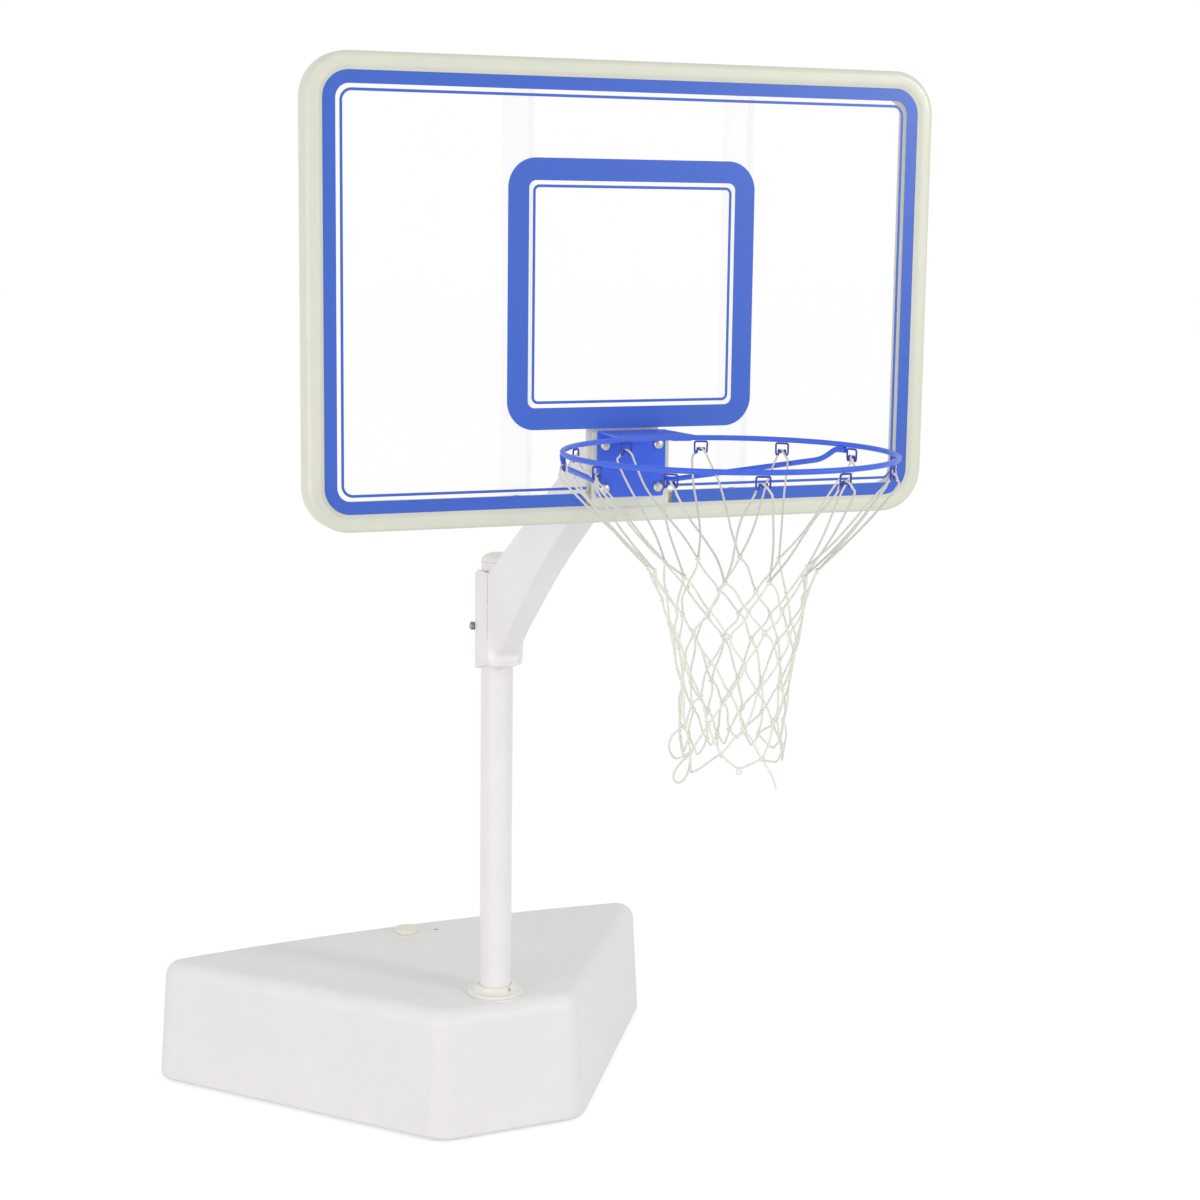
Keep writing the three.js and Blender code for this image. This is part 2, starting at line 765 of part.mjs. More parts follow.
// Turns a piece made along +Z to run along +Y at a place on the board
function boardwards(geometry, x, z) {
  return geometry.rotateX(-Math.PI / 2).translate(x, 0, z);
}

function boltCuts(front, rear, radius = boltHole) {
  return boltPlaces.map(([x, z]) => {
    return boardwards(cylinderUp(radius, front - cutOverrun, rear + cutOverrun, fastenerSides), x, z);
  });
}

const strutMiddleX = strutInnerX + strutWidth / 2;
const strutMiddleY = ledgeFront + strutDepth / 2;

function makeFrame() {
  const blockFront = -frameLip + blockSetback;
  const block = boxBetween(
    [-blockHalfWidth, blockFront, -frameHalfHeight + frameWall],
    [blockHalfWidth, blockBack, notchTop - notchClearance],
  );
  const screwCuts = strutScrewPlaces().map(([x, side]) => {
    const low = windowHalfHeight - cutOverrun;
    const high = windowHalfHeight + frameWall + cutOverrun;
    return endways(cylinderUp(strutScrewHole, low, high, fastenerSides), x, side);
  });
  return carved(joined(frameRing(), block), ...boltCuts(blockFront, blockBack), ...screwCuts);
}

// The struts' four end screws: X place, and +1 for the top or -1 for the bottom
function strutScrewPlaces() {
  return [[-strutMiddleX, 1], [strutMiddleX, 1], [-strutMiddleX, -1], [strutMiddleX, -1]];
}

// Places a piece made along +Z at a strut's upper end, or turned over at its lower end
function endways(geometry, x, side) {
  if (side < 0) geometry.rotateX(Math.PI);
  return geometry.translate(x, strutMiddleY, 0);
}

addPiece(board, 'backboard_frame', geometryOf(makeFrame()), cream);

// Clear panel with the notch for the mount block
function makePanel() {
  const x = panelHalfWidth;
  const z = panelHalfHeight;
  const r = panelCorner;
  const quarter = Math.PI / 2;
  const steps = frameCornerSteps - 1;
  const outline = [
    ...arcPoints(x - r, z - r, r, 0, quarter, steps),
    ...arcPoints(r - x, z - r, r, quarter, 2 * quarter, steps),
    ...arcPoints(r - x, r - z, r, 2 * quarter, 3 * quarter, steps),
    ...arcPoints(-notchHalfWidth - notchCorner, notchCorner - z, notchCorner, -quarter, 0, 3),
    ...arcPoints(notchCorner - notchHalfWidth, notchTop - notchCorner, notchCorner, 2 * quarter, quarter, 3),
    ...arcPoints(notchHalfWidth - notchCorner, notchTop - notchCorner, notchCorner, quarter, 0, 3),
    ...arcPoints(notchHalfWidth + notchCorner, notchCorner - z, notchCorner, 2 * quarter, 3 * quarter, 3),
    ...arcPoints(x - r, r - z, r, 3 * quarter, 4 * quarter, steps),
  ];
  return pulledBack(outline, 0, panelThickness);
}

addPiece(board, 'clear_panel', makePanel(), clearSheet);

// Struts: channels open to the back, closed at both ends
function makeStrut(middleX) {
  const half = windowHalfHeight - seatGap;
  const inner = strutWidth / 2 - strutSheet;
  const outside = boxBetween(
    [middleX - strutWidth / 2, ledgeFront, -half],
    [middleX + strutWidth / 2, ledgeFront + strutDepth, half],
  );
  const inside = boxBetween(
    [middleX - inner, ledgeFront + strutSheet, strutSheet - half],
    [middleX + inner, ledgeFront + strutDepth + cutOverrun, half - strutSheet],
  );
  const holes = [1, -1].map((side) => {
    const low = half - strutSheet - cutOverrun;
    return endways(cylinderUp(strutScrewHole, low, half + cutOverrun, fastenerSides), middleX, side);
  });
  return geometryOf(carved(solid(outside), inside, ...holes));
}

addPiece(board, 'strut_left', makeStrut(-strutMiddleX), milkyPlastic);
addPiece(board, 'strut_right', makeStrut(strutMiddleX), milkyPlastic);

strutScrewPlaces().forEach(([x, side], i) => {
  const seat = windowHalfHeight - 2 * seatGap - strutSheet;
  const screw = turned([
    [0, seat - strutScrewHeadHeight],
    [strutScrewHead - strutScrewHeadHeight / 2, seat - strutScrewHeadHeight],
    [strutScrewHead, seat],
    [strutScrewRadius, seat],
    [strutScrewRadius, seat + strutScrewLength],
    [0, seat + strutScrewLength],
  ], fastenerSides);
  addPiece(board, `strut_screw_${i + 1}`, endways(screw, x, side), steel);
});

// Rim plate with its top flange
const blockFace = -frameLip + blockSetback;
const plateBack = blockFace - seatGap;
const plateFront = plateBack - plateThickness;
const ringRadius = ringInnerRadius + ringRodRadius;
const flangeTop = ringCentreZ + plateThickness / 2;
const flangeReach = ringRadius + ringRodRadius + seatGap;

function makeRimPlate() {
  const plate = boxBetween(
    [-plateHalfWidth, plateFront, flangeTop - plateHeight],
    [plateHalfWidth, plateBack, flangeTop],
  );
  const swing = Math.asin(flangeFrontHalfWidth / flangeReach);
  const quarter = Math.PI / 2;
  const front = arcPoints(0, ringCentreY, flangeReach, quarter - swing, quarter + swing, flangeArcSteps);
  const outline = [...front, [-flangeRootHalfWidth, plateBack], [flangeRootHalfWidth, plateBack]];
  const flange = pulledUp(outline, flangeTop - plateThickness, flangeTop);
  return carved(joined(plate, flange), ...boltCuts(plateFront, plateBack));
}

addPiece(board, 'rim_plate', geometryOf(makeRimPlate()), bluePaint);

const ring = new THREE.TorusGeometry(ringRadius, ringRodRadius, ringSides, ringSteps);
addPiece(board, 'rim_ring', geometryOf(solid(ring.translate(0, ringCentreY, ringCentreZ))), bluePaint);

// Brace rods from the plate's lower corners to the ring's underside
function makeBrace(side) {
  const underRing = ringCentreZ - ringRodRadius - braceRadius - seatGap;
  const end = THREE.MathUtils.degToRad(braceEndDegrees);
  const rootX = plateHalfWidth + braceRadius + seatGap;
  const endX = ringRadius * Math.cos(end);
  const endY = ringCentreY + ringRadius * Math.sin(end);
  const foot = new THREE.Vector3(side * rootX, plateBack, braceRootZ);
  const knee = new THREE.Vector3(side * rootX, plateFront - braceRootReach, braceRootZ);
  const shoulder = new THREE.Vector3(side * braceBendX, braceBendY, braceBendZ);
  const tip = new THREE.Vector3(side * endX, endY, underRing);
  const run = [
    foot,
    ...bend(foot, knee, shoulder, braceRootReach, braceBendSteps),
    ...bend(knee, shoulder, tip, braceBendReach, braceBendSteps),
    tip,
  ];
  return barThrough(run, braceRadius, braceSides, new THREE.Vector3(0, 0, 1));
}

addPiece(board, 'rim_brace_left', makeBrace(-1), bluePaint);
addPiece(board, 'rim_brace_right', makeBrace(1), bluePaint);

// Net hooks: closed wire loops under the ring, their lower side dipped to hold the net
const hookTop = ringCentreZ - ringRodRadius - seatGap - hookWireThickness / 2;
const hookBottom = hookTop - hookDrop;

function makeHook() {
  const side = [
    [hookHalfWidth - hookShoulder, hookTop],
    [hookHalfWidth, hookTop - hookShoulder],
    [hookFootX, hookBottom],
    [hookHornX, hookBottom + hookHornRise],
    [hookDipHalfWidth, hookBottom + hookDipRise],
  ];
  const mirrored = side.map(([x, z]) => [-x, z]).reverse();
  const points = [...side, ...mirrored].map(([x, z]) => new THREE.Vector3(x, 0, z));
  const corner = hookWireThickness * Math.SQRT1_2;
  return barThrough(points, corner, 4, new THREE.Vector3(0, 1, 0), true);
}

// Turns a piece made across +X at the ring's +Y side to its place round the ring
function roundRing(geometry, degrees) {
  const angle = THREE.MathUtils.degToRad(degrees);
  geometry.translate(0, ringRadius, 0).rotateZ(angle - Math.PI / 2);
  return geometry.translate(0, ringCentreY, 0);
}

for (let i = 0; i < hookCount; i += 1) {
  const degrees = hookStartDegrees + (360 * i) / hookCount;
  addPiece(board, `net_hook_${i + 1}`, roundRing(makeHook(), degrees), bluePaint);
}

// Rim bolts, washers and nuts
const headPlateFront = blockBack + seatGap;
const headPlateBack = headPlateFront + headPlateThickness;
const washerFront = headPlateBack + seatGap;
const nutFront = washerFront + washerThickness + seatGap;
const boltEnd = nutFront + nutHeight + boltTail;
const boltSeat = plateFront - seatGap;

boltPlaces.forEach(([x, z], i) => {
  const bolt = turned([
    [0, boltEnd],
    [boltRadius, boltEnd],
    [boltRadius, boltSeat],
    ...domePoints(boltHeadRadius, boltSeat, -boltHeadHeight),
  ].reverse(), fastenerSides);
  const washer = ringUp(boltHole, washerRadius, washerFront, washerFront + washerThickness, fastenerSides);
  const nut = hexNut(nutAcrossFlats, boltRadius + seatGap, nutFront, nutFront + nutHeight);
  addPiece(board, `rim_bolt_${i + 1}`, boardwards(bolt, x, z), steel);
  addPiece(board, `rim_washer_${i + 1}`, boardwards(washer, x, z), steel);
  addPiece(board, `rim_nut_${i + 1}`, boardwards(nut, x, z), steel);
});

// Head plate of the neck
const headPlate = boxBetween(
  [-headPlateHalfWidth, headPlateFront, headPlateBottom],
  [headPlateHalfWidth, headPlateBack, headPlateTop],
);
const headPlateBody = carved(solid(headPlate), ...boltCuts(headPlateFront, headPlateBack));
addPiece(board, 'neck_head_plate', geometryOf(headPlateBody), whitePaint);

// Neck arm: a channel open to the back, from the head plate down to the pole

const armHead = headPlateBack + seatGap;
const armRearY = boardReach - sleeveForeEdge - seamGap;

// One U-shaped section between a face corner and a rear corner, mirrored to the other side
function armSection(face, rear) {
  const run = new THREE.Vector2(rear.y - face.y, rear.z - face.z);
  const depth = run.length();
  run.normalize();
  const lean = (rear.x - face.x) / depth;
  const rounded = (wall) => {
    const radius = armCorner - wall;
    const tip = new THREE.Vector2(face.x - wall, wall);
    const from = new THREE.Vector2(tip.x + lean * radius, wall + radius);
    const to = new THREE.Vector2(tip.x - radius, wall);
    const curve = new THREE.QuadraticBezierCurve(from, tip, to).getPoints(armCornerSteps);
    return [[rear.x - wall, depth], ...curve.map((point) => [point.x, point.y])];
  };
  const mirrored = (points) => points.map(([x, s]) => [-x, s]).reverse();
  const outer = rounded(0);
  const inner = rounded(armWall);
  const loop = [...outer, ...mirrored(outer), ...mirrored(inner).reverse(), ...[...inner].reverse()];
  return loop.map(([x, s]) => new THREE.Vector3(x, face.y + run.x * s, face.z + run.y * s));
}

// The arm's rear edge runs straight to the sleeve's top, then down along the sleeve
function makeArm() {
  const reach = armRearY - armHead;
  const drop = armBottom - armFaceTop;
  const faceCurve = new THREE.CatmullRomCurve3(armFaceShares.map(([out, down, wide]) => {
    return new THREE.Vector3(wide * armFaceHalfWidth, armHead + out * reach, armFaceTop + down * drop);
  }));
  const rearTop = new THREE.Vector3(armRearHalfWidth, armHead, armRearTop);
  const corner = new THREE.Vector3(sleeveHalfWidth, armRearY, armSleeveTop);
  const rearBottom = new THREE.Vector3(sleeveHalfWidth, armRearY, armBottom);
  const sections = Array.from({ length: armSpans + 1 }, (_, i) => {
    const share = i / armSpans;
    const rear = share < 0.5
      ? rearTop.clone().lerp(corner, 2 * share)
      : corner.clone().lerp(rearBottom, 2 * share - 1);
    return armSection(faceCurve.getPoint(share), rear);
  });
  return skinned(sections, false);
}

addPiece(board, 'neck_arm', geometryOf(solid(makeArm())), whitePaint);

// Net: cords between rows of knots, hung over the hooks

const cordCorner = netCordThickness * Math.SQRT1_2;
const hookSaddle = hookBottom + hookDipRise + hookWireThickness / 2;
const cordOverHook = hookSaddle + seatGap + netCordThickness / 2;

// A place round the ring's axis, at a radius and a height
function roundAxis(degrees, radius, height) {
  const angle = THREE.MathUtils.degToRad(degrees);
  return new THREE.Vector3(radius * Math.cos(angle), ringCentreY + radius * Math.sin(angle), height);
}

function knotDegrees(row, column) {
  const stagger = row % 2 === 0 ? 0.5 : 0;
  return hookStartDegrees + (360 * (column + stagger)) / netColumns;
}

function knotPlace(row, column) {
  const radius = ringRadius * netRadiusShares[row];
  return roundAxis(knotDegrees(row, column), radius, ringCentreZ - netDrop * netRowShares[row]);
}

// A cord through a run of points, one of its flats facing out from the ring's axis
function cordThrough(points) {
  const middle = points[0].clone().add(points[points.length - 1]);
  const outward = new THREE.Vector3(middle.x / 2, middle.y / 2 - ringCentreY, 0);
  return barThrough(points, cordCorner, 4, outward);
}

// A diamond-shaped knot whose four sides face its four cords
function knotAt(row, column) {
  const outline = [[netKnotHalfWidth, 0], [0, netKnotHalfHeight], [-netKnotHalfWidth, 0], [0, -netKnotHalfHeight]];
  const knot = pulledBack(outline, -netKnotHalfDepth, netKnotHalfDepth);
  const angle = THREE.MathUtils.degToRad(knotDegrees(row, column));
  const place = knotPlace(row, column);
  return knot.rotateZ(angle - Math.PI / 2).translate(place.x, place.y, place.z);
}

// A cord from one knot of the top row over a hook's wire and down to the next knot
function hangerAt(column) {
  const degrees = hookStartDegrees + (360 * column) / netColumns;
  const spread = (hookWireThickness + netCordThickness) / 2 + 2 * seatGap;
  const half = [[spread, -netSaddleFall], [spread, -hookWireThickness / 2], [spread / 2, 0]];
  const mirrored = half.map(([out, up]) => [-out, up]).reverse();
  const over = [...half, ...mirrored].map(([out, up]) => {
    return roundAxis(degrees, ringRadius + out, cordOverHook + up);
  });
  return cordThrough([knotPlace(0, column), ...over, knotPlace(0, column - 1)]);
}

function makeNet() {
  const lastRow = netRowShares.length - 1;
  const cords = [];
  const knots = [];
  for (let column = 0; column < netColumns; column += 1) {
    cords.push(hangerAt(column));
    for (let row = 0; row <= lastRow; row += 1) knots.push(knotAt(row, column));
    for (let row = 0; row < lastRow; row += 1) {
      const shift = row % 2 === 0 ? 1 : 0;
      const here = knotPlace(row, column);
      cords.push(cordThrough([here, knotPlace(row + 1, column + shift)]));
      cords.push(cordThrough([here, knotPlace(row + 1, column + shift - 1)]));
    }
    const start = knotPlace(lastRow, column);
    const end = knotPlace(lastRow, column + 1);
    const low = start.z - netLoopDrop;
    const lowStart = start.clone().lerp(end, netLoopShare).setZ(low + netLoopTaper);
    const lowMiddle = start.clone().add(end).multiplyScalar(1 / 2).setZ(low);
    const lowEnd = end.clone().lerp(start, netLoopShare).setZ(low + netLoopTaper);
    cords.push(cordThrough([start, lowStart, lowMiddle, lowEnd, end]));
  }
  return joined(...cords, ...knots);
}

addPiece(board, 'net', geometryOf(makeNet()), netCord);

export default hoop;
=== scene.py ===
"""Poolside basketball hoop: moulded, turned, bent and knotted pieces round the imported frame.

Shapes are drawn in millimetres, in the CAD's frame, and scaled to metres when they are finished.
"""

import math
import random

import bmesh
import bpy
from bpy.props import FloatProperty, FloatVectorProperty, IntProperty, PointerProperty
from mathutils import Matrix, Vector


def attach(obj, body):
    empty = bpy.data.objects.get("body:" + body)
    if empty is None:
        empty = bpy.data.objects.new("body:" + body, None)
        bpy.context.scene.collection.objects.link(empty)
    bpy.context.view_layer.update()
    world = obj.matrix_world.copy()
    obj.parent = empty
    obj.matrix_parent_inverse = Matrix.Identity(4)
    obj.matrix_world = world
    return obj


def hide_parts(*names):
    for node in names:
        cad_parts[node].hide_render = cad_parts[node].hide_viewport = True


bl_info = {
    "name": "Poolside hoop",
    "version": (1, 0, 0),
    "blender": (4, 5, 0),
    "location": "View3D > Sidebar > Hoop",
    "description": "Makes the pieces, finishes and stage of a poolside basketball hoop",
    "category": "Add Mesh",
}

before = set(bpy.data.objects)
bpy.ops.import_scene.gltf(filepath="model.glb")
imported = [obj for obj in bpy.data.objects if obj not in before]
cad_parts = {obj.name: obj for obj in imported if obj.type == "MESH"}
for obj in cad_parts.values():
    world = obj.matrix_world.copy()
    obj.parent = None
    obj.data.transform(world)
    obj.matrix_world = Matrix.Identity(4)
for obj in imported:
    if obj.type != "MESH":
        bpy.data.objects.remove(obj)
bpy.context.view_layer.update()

MM = 0.001
QUARTER = math.pi / 2
UPRIGHT = (0, 0, 1)
# The gap that keeps seated pieces just clear of each other
SEATING = 0.3
# The board's middle, and how far the base is turned against the board
BOARD_PLACE = Vector((0, -584, 1526))
BASE_TURN = math.radians(3.2)


def screen(red, green, blue):
    """A colour as it shows on a screen, 0 to 255, turned into the linear values nodes use."""
    shares = [value / 255 for value in (red, green, blue)]
    return tuple(s / 12.92 if s <= 0.04045 else ((s + 0.055) / 1.055) ** 2.4 for s in shares)


def tint(red, green, blue, description, name):
    """A colour property with its default given as it shows on a screen."""
    return FloatVectorProperty(
        name=name, description=description, subtype="COLOR", size=3, min=0, max=1,
        default=screen(red, green, blue),
    )


def length(name, description, default):
    """A length property, in metres."""
    return FloatProperty(name=name, description=description, default=default, min=0, unit="LENGTH")


class HoopSizes(bpy.types.PropertyGroup):
    """Sizes that a user may change before making the pieces."""

    edge: length("Edge softness", "Width of the small bevel on moulded edges", 0.0008)
    plate_edge: length("Plate edge", "Width of the small bevel on sheet metal edges", 0.0005)
    ink: length("Ink thickness", "Thickness of the printed bands on the clear panel", 0.00025)
    outer_band: length("Outer band", "Width of the band printed round the panel", 0.019)
    square_band: length("Square band", "Width of the printed shooter's square", 0.033)
    fine_line: length("Fine line", "Width of the thin line inside each printed band", 0.0042)
    cord: length("Net cord", "Diameter of the net's cord", 0.0031)
    lay: length("Lay of the cord", "Length of one twist of the cord's strands", 0.009)
    cap_ribs: IntProperty(name="Cap ribs", description="Grip ribs round the fill cap", default=26, min=3)
    turns: IntProperty(name="Turning steps", description="Sides of large turned pieces", default=72, min=12)
    seed: IntProperty(name="Net seed", description="Seed of the net's slack and kinks", default=7)


class HoopColours(bpy.types.PropertyGroup):
    """Colours of the finishes, as they show on a screen."""

    tank: tint(243, 241, 240, "Rotomoulded base", "Base plastic")
    cap: tint(235, 234, 221, "Fill cap and foot plug of the pole", "Cap plastic")
    collar: tint(243, 242, 234, "Collar, top cap and strut screws", "Collar plastic")
    moulding: tint(222, 224, 208, "Moulded frame of the backboard", "Frame plastic")
    strut: tint(246, 246, 244, "Struts behind the clear panel", "Strut plastic")
    sheet: tint(252, 252, 253, "Clear sheet of the backboard", "Clear sheet")
    ink: tint(66, 104, 204, "Ink of the printed bands", "Printed blue")
    rim: tint(70, 108, 230, "Powder coat of ring and plate", "Rim blue")
    hook: tint(54, 74, 172, "Paint of the net hooks", "Hook blue")
    paint: tint(242, 239, 240, "Powder coat of pole, sleeve and arm", "White paint")
    cord: tint(250, 250, 238, "Cord of the net", "Net cord")
    steel: tint(196, 197, 188, "Plated bolts, washers and nuts", "Plated steel")
    dark_steel: tint(142, 142, 140, "Clamp bolt and its nut", "Dark steel")
    rubber: tint(150, 150, 142, "Sealing washer and vent plug", "Rubber")
    water: tint(170, 212, 228, "Water in the base", "Water")


# Finishes

# How strongly light bends in each clear material
ACRYLIC_IOR = 1.49
MILKY_IOR = 1.5
WATER_IOR = 1.33
# Strands in the net's twisted cord
CORD_STRANDS = 3
# Sockets of the Mix node when it mixes colours, which go by number because their names repeat
MIX_FACTOR, MIX_FIRST, MIX_SECOND, MIX_RESULT = 0, 6, 7, 2


class Wire:
    """A socket in a finish's node tree, so that shader maths reads as an expression."""

    def __init__(self, tree, socket=None):
        self.tree = tree
        self.socket = socket

    def add(self, kind, settings=None, sockets=None, output=0):
        """Adds a node of a kind: its settings first, then the values or links of its sockets."""
        node = self.tree.nodes.new(kind)
        for setting, value in (settings or {}).items():
            setattr(node, setting, value)
        for name, value in (sockets or {}).items():
            if isinstance(value, Wire):
                self.tree.links.new(value.socket, node.inputs[name])
            else:
                node.inputs[name].default_value = value
        return Wire(self.tree, node.outputs[output] if node.outputs else None)

    def sum(self, operation, first, second=0.0):
        """Adds one Math node of an operation."""
        return self.add("ShaderNodeMath", {"operation": operation}, {0: first, 1: second})

    def __add__(self, other):
        return self.sum("ADD", self, other)

    __radd__ = __add__

    def __mul__(self, other):
        return self.sum("MULTIPLY", self, other)

    __rmul__ = __mul__


def new_finish(name):
    """A material with an empty tree, and a wire to start from."""
    material = bpy.data.materials.new(name)
    material.use_nodes = True
    material.node_tree.nodes.clear()
    return material, Wire(material.node_tree)


def shade(colour, factor):
    """A colour made lighter or darker, with full alpha."""
    return tuple(min(value * factor, 1) for value in colour[:3]) + (1,)


def object_place(start):
    """The place in the object's own space, in metres, where a pattern is looked up."""
    return start.add("ShaderNodeTexCoord", output="Object")


def noise(start, place, scale, detail, roughness=0.5):
    """A noise of a scale per metre."""
    sockets = {"Vector": place, "Scale": scale, "Detail": detail, "Roughness": roughness}
    return start.add("ShaderNodeTexNoise", None, sockets)


def between(start, value, low, high):
    """A smooth step from 0 at low to 1 at high."""
    settings = {"interpolation_type": "SMOOTHSTEP"}
    return start.add("ShaderNodeMapRange", settings, {"Value": value, "From Min": low, "From Max": high})


def mixed(start, mask, first, second):
    """One colour over another by a mask."""
    sockets = {MIX_FACTOR: mask, MIX_FIRST: first, MIX_SECOND: second}
    return start.add("ShaderNodeMix", {"data_type": "RGBA"}, sockets, MIX_RESULT)


def bumped(start, height, depth, strength=1.0, under=None):
    """A bump from heights of 0 to 1 that stand for a real depth in metres, over another bump if given."""
    sockets = {"Height": height, "Distance": depth, "Strength": strength}
    if under:
        sockets["Normal"] = under
    return start.add("ShaderNodeBump", None, sockets)


def close_finish(start, material, sockets):
    """Ends a finish in one Principled shader."""
    shader = start.add("ShaderNodeBsdfPrincipled", None, sockets)
    start.add("ShaderNodeOutputMaterial", None, {"Surface": shader})
    return material


def moulded_finish(name, colour, grain, roughness, waviness, coat=0.0):
    """Moulded plastic: mottled, finely grained, faintly wavy, scuffed here and there."""
    material, start = new_finish(name)
    place = object_place(start)
    mottle = noise(start, place, 38, 4, 0.6)
    cloud = noise(start, place, 5, 2)
    pebble = noise(start, place, grain, 2, 0.55)
    scuff = between(start, noise(start, place, 120, 6, 0.7), 0.62, 0.74)
    body = mixed(start, between(start, cloud, 0.3, 0.7), shade(colour, 0.975), shade(colour, 1.01))
    body = mixed(start, between(start, mottle, 0.35, 0.75) * 0.5, body, shade(colour, 0.94))
    body = mixed(start, between(start, pebble, 0.42, 0.62) * 0.4, body, shade(colour, 0.95))
    body = mixed(start, scuff * 0.16, body, shade(colour, 0.86))
    return close_finish(start, material, {
        "Base Color": body,
        "Roughness": roughness + mottle * 0.1 + scuff * 0.12,
        "Normal": bumped(start, pebble, 0.00022, 0.7, under=bumped(start, cloud, waviness)),
        "Coat Weight": coat,
        "Coat Roughness": 0.12,
    })


def painted_finish(name, colour, roughness, wear, coat_weight, gloss=0.5):
    """Powder coat: a fine orange peel with small specks and faint handling marks."""
    material, start = new_finish(name)
    place = object_place(start)
    peel = noise(start, place, 620, 2, 0.45)
    cloud = noise(start, place, 9, 3)
    speck = between(start, noise(start, place, 1500, 1, 0.4), 0.7, 0.78)
    streak_place = start.add("ShaderNodeMapping", None, {"Vector": place, "Scale": (60, 60, 5)})
    streak = between(start, noise(start, streak_place, 4, 4, 0.6), 0.56, 0.72)
    coat = mixed(start, between(start, cloud, 0.3, 0.7), shade(colour, 0.97), shade(colour, 1.02))
    coat = mixed(start, streak * (0.08 + wear), coat, shade(colour, 0.82))
    coat = mixed(start, speck * 0.2, coat, shade(colour, 0.75))
    return close_finish(start, material, {
        "Base Color": coat,
        "Roughness": roughness + cloud * 0.08 + streak * 0.1,
        "Normal": bumped(start, peel, 0.00009, 0.6),
        "Coat Weight": coat_weight,
        "Coat Roughness": 0.16,
        "Specular IOR Level": gloss,
    })


def metal_finish(name, colour, roughness):
    """Plated steel: faint turning marks, dulled in patches."""
    material, start = new_finish(name)
    place = object_place(start)
    fine = noise(start, place, 1400, 2, 0.6)
    patch = between(start, noise(start, place, 260, 4, 0.6), 0.42, 0.66)
    skin = mixed(start, patch, shade(colour, 1.05), shade(colour, 0.78))
    return close_finish(start, material, {
        "Base Color": skin,
        "Metallic": 0.85,
        "Roughness": roughness + patch * 0.18 + fine * 0.08,
        "Normal": bumped(start, fine, 0.00004, 0.5),
    })


def ink_finish(name, colour):
    """Screen ink under a clear gloss: even, with the mesh's faint dots and thin spots."""
    material, start = new_finish(name)
    place = object_place(start)
    dots = noise(start, place, 900, 1, 0.4)
    thin = between(start, noise(start, place, 70, 5, 0.65), 0.55, 0.8)
    ink = mixed(start, between(start, dots, 0.35, 0.65), shade(colour, 0.96), shade(colour, 1.05))
    ink = mixed(start, thin * 0.25, ink, shade(colour, 1.3))
    return close_finish(start, material, {
        "Base Color": ink,
        "Roughness": 0.3 + dots * 0.08,
        "Normal": bumped(start, dots, 0.00002, 0.4),
        "Coat Weight": 0.12,
        "Coat Roughness": 0.06,
        "Specular IOR Level": 0.3,
    })


def clear_finish(name, colour):
    """Clear acrylic sheet: hardly tinted, brighter at a glance by a painted white sheen in place of its
    reflection, with faint smears.
    """
    material, start = new_finish(name)
    place = object_place(start)
    smear = between(start, noise(start, place, 14, 5, 0.6), 0.45, 0.75)
    painted_glance_sheen = start.add("ShaderNodeFresnel", None, {"IOR": ACRYLIC_IOR})
    return close_finish(start, material, {
        "Base Color": shade(colour, 1),
        "Roughness": 0.04 + smear * 0.05,
        # More of the sheet's white body shows at a glance: a painted sheen that stands in for its reflection.
        "Alpha": 0.006 + smear * 0.01 + painted_glance_sheen * 0.3,
        "Normal": bumped(start, noise(start, place, 3, 1), 0.0006, 0.3),
        "IOR": ACRYLIC_IOR,
    })


def milky_finish(name, colour):
    """Translucent moulded plastic: milky, faintly streaked along its length."""
    material, start = new_finish(name)
    place = object_place(start)
    long_place = start.add("ShaderNodeMapping", None, {"Vector": place, "Scale": (9, 9, 1.2)})
    streak = noise(start, long_place, 12, 4, 0.6)
    body = mixed(start, streak, shade(colour, 0.95), shade(colour, 1.03))
    return close_finish(start, material, {
        "Base Color": body,
        "Roughness": 0.22 + streak * 0.12,
        "Alpha": 0.035 + streak * 0.03,
        "Normal": bumped(start, streak, 0.0006, 0.5),
        "IOR": MILKY_IOR,
    })


def rubber_finish(name, colour):
    """Dull grey rubber with a fine bloom."""
    material, start = new_finish(name)
    place = object_place(start)
    bloom = between(start, noise(start, place, 180, 4, 0.7), 0.4, 0.75)
    return close_finish(start, material, {
        "Base Color": mixed(start, bloom * 0.5, shade(colour, 0.9), shade(colour, 1.4)),
        "Roughness": 0.72 + bloom * 0.18,
        "Normal": bumped(start, noise(start, place, 1100, 2), 0.00008, 0.6),
    })


def water_finish(name, colour):
    """Still water."""
    material, start = new_finish(name)
    place = object_place(start)
    ripple = noise(start, place, 22, 3)
    return close_finish(start, material, {
        "Base Color": mixed(start, ripple, shade(colour, 0.85), shade(colour, 1.1)),
        "Roughness": 0.04 + ripple * 0.04,
        "Alpha": 0.35 + ripple * 0.1,
        "Normal": bumped(start, ripple, 0.002, 0.5),
        "IOR": WATER_IOR,
    })


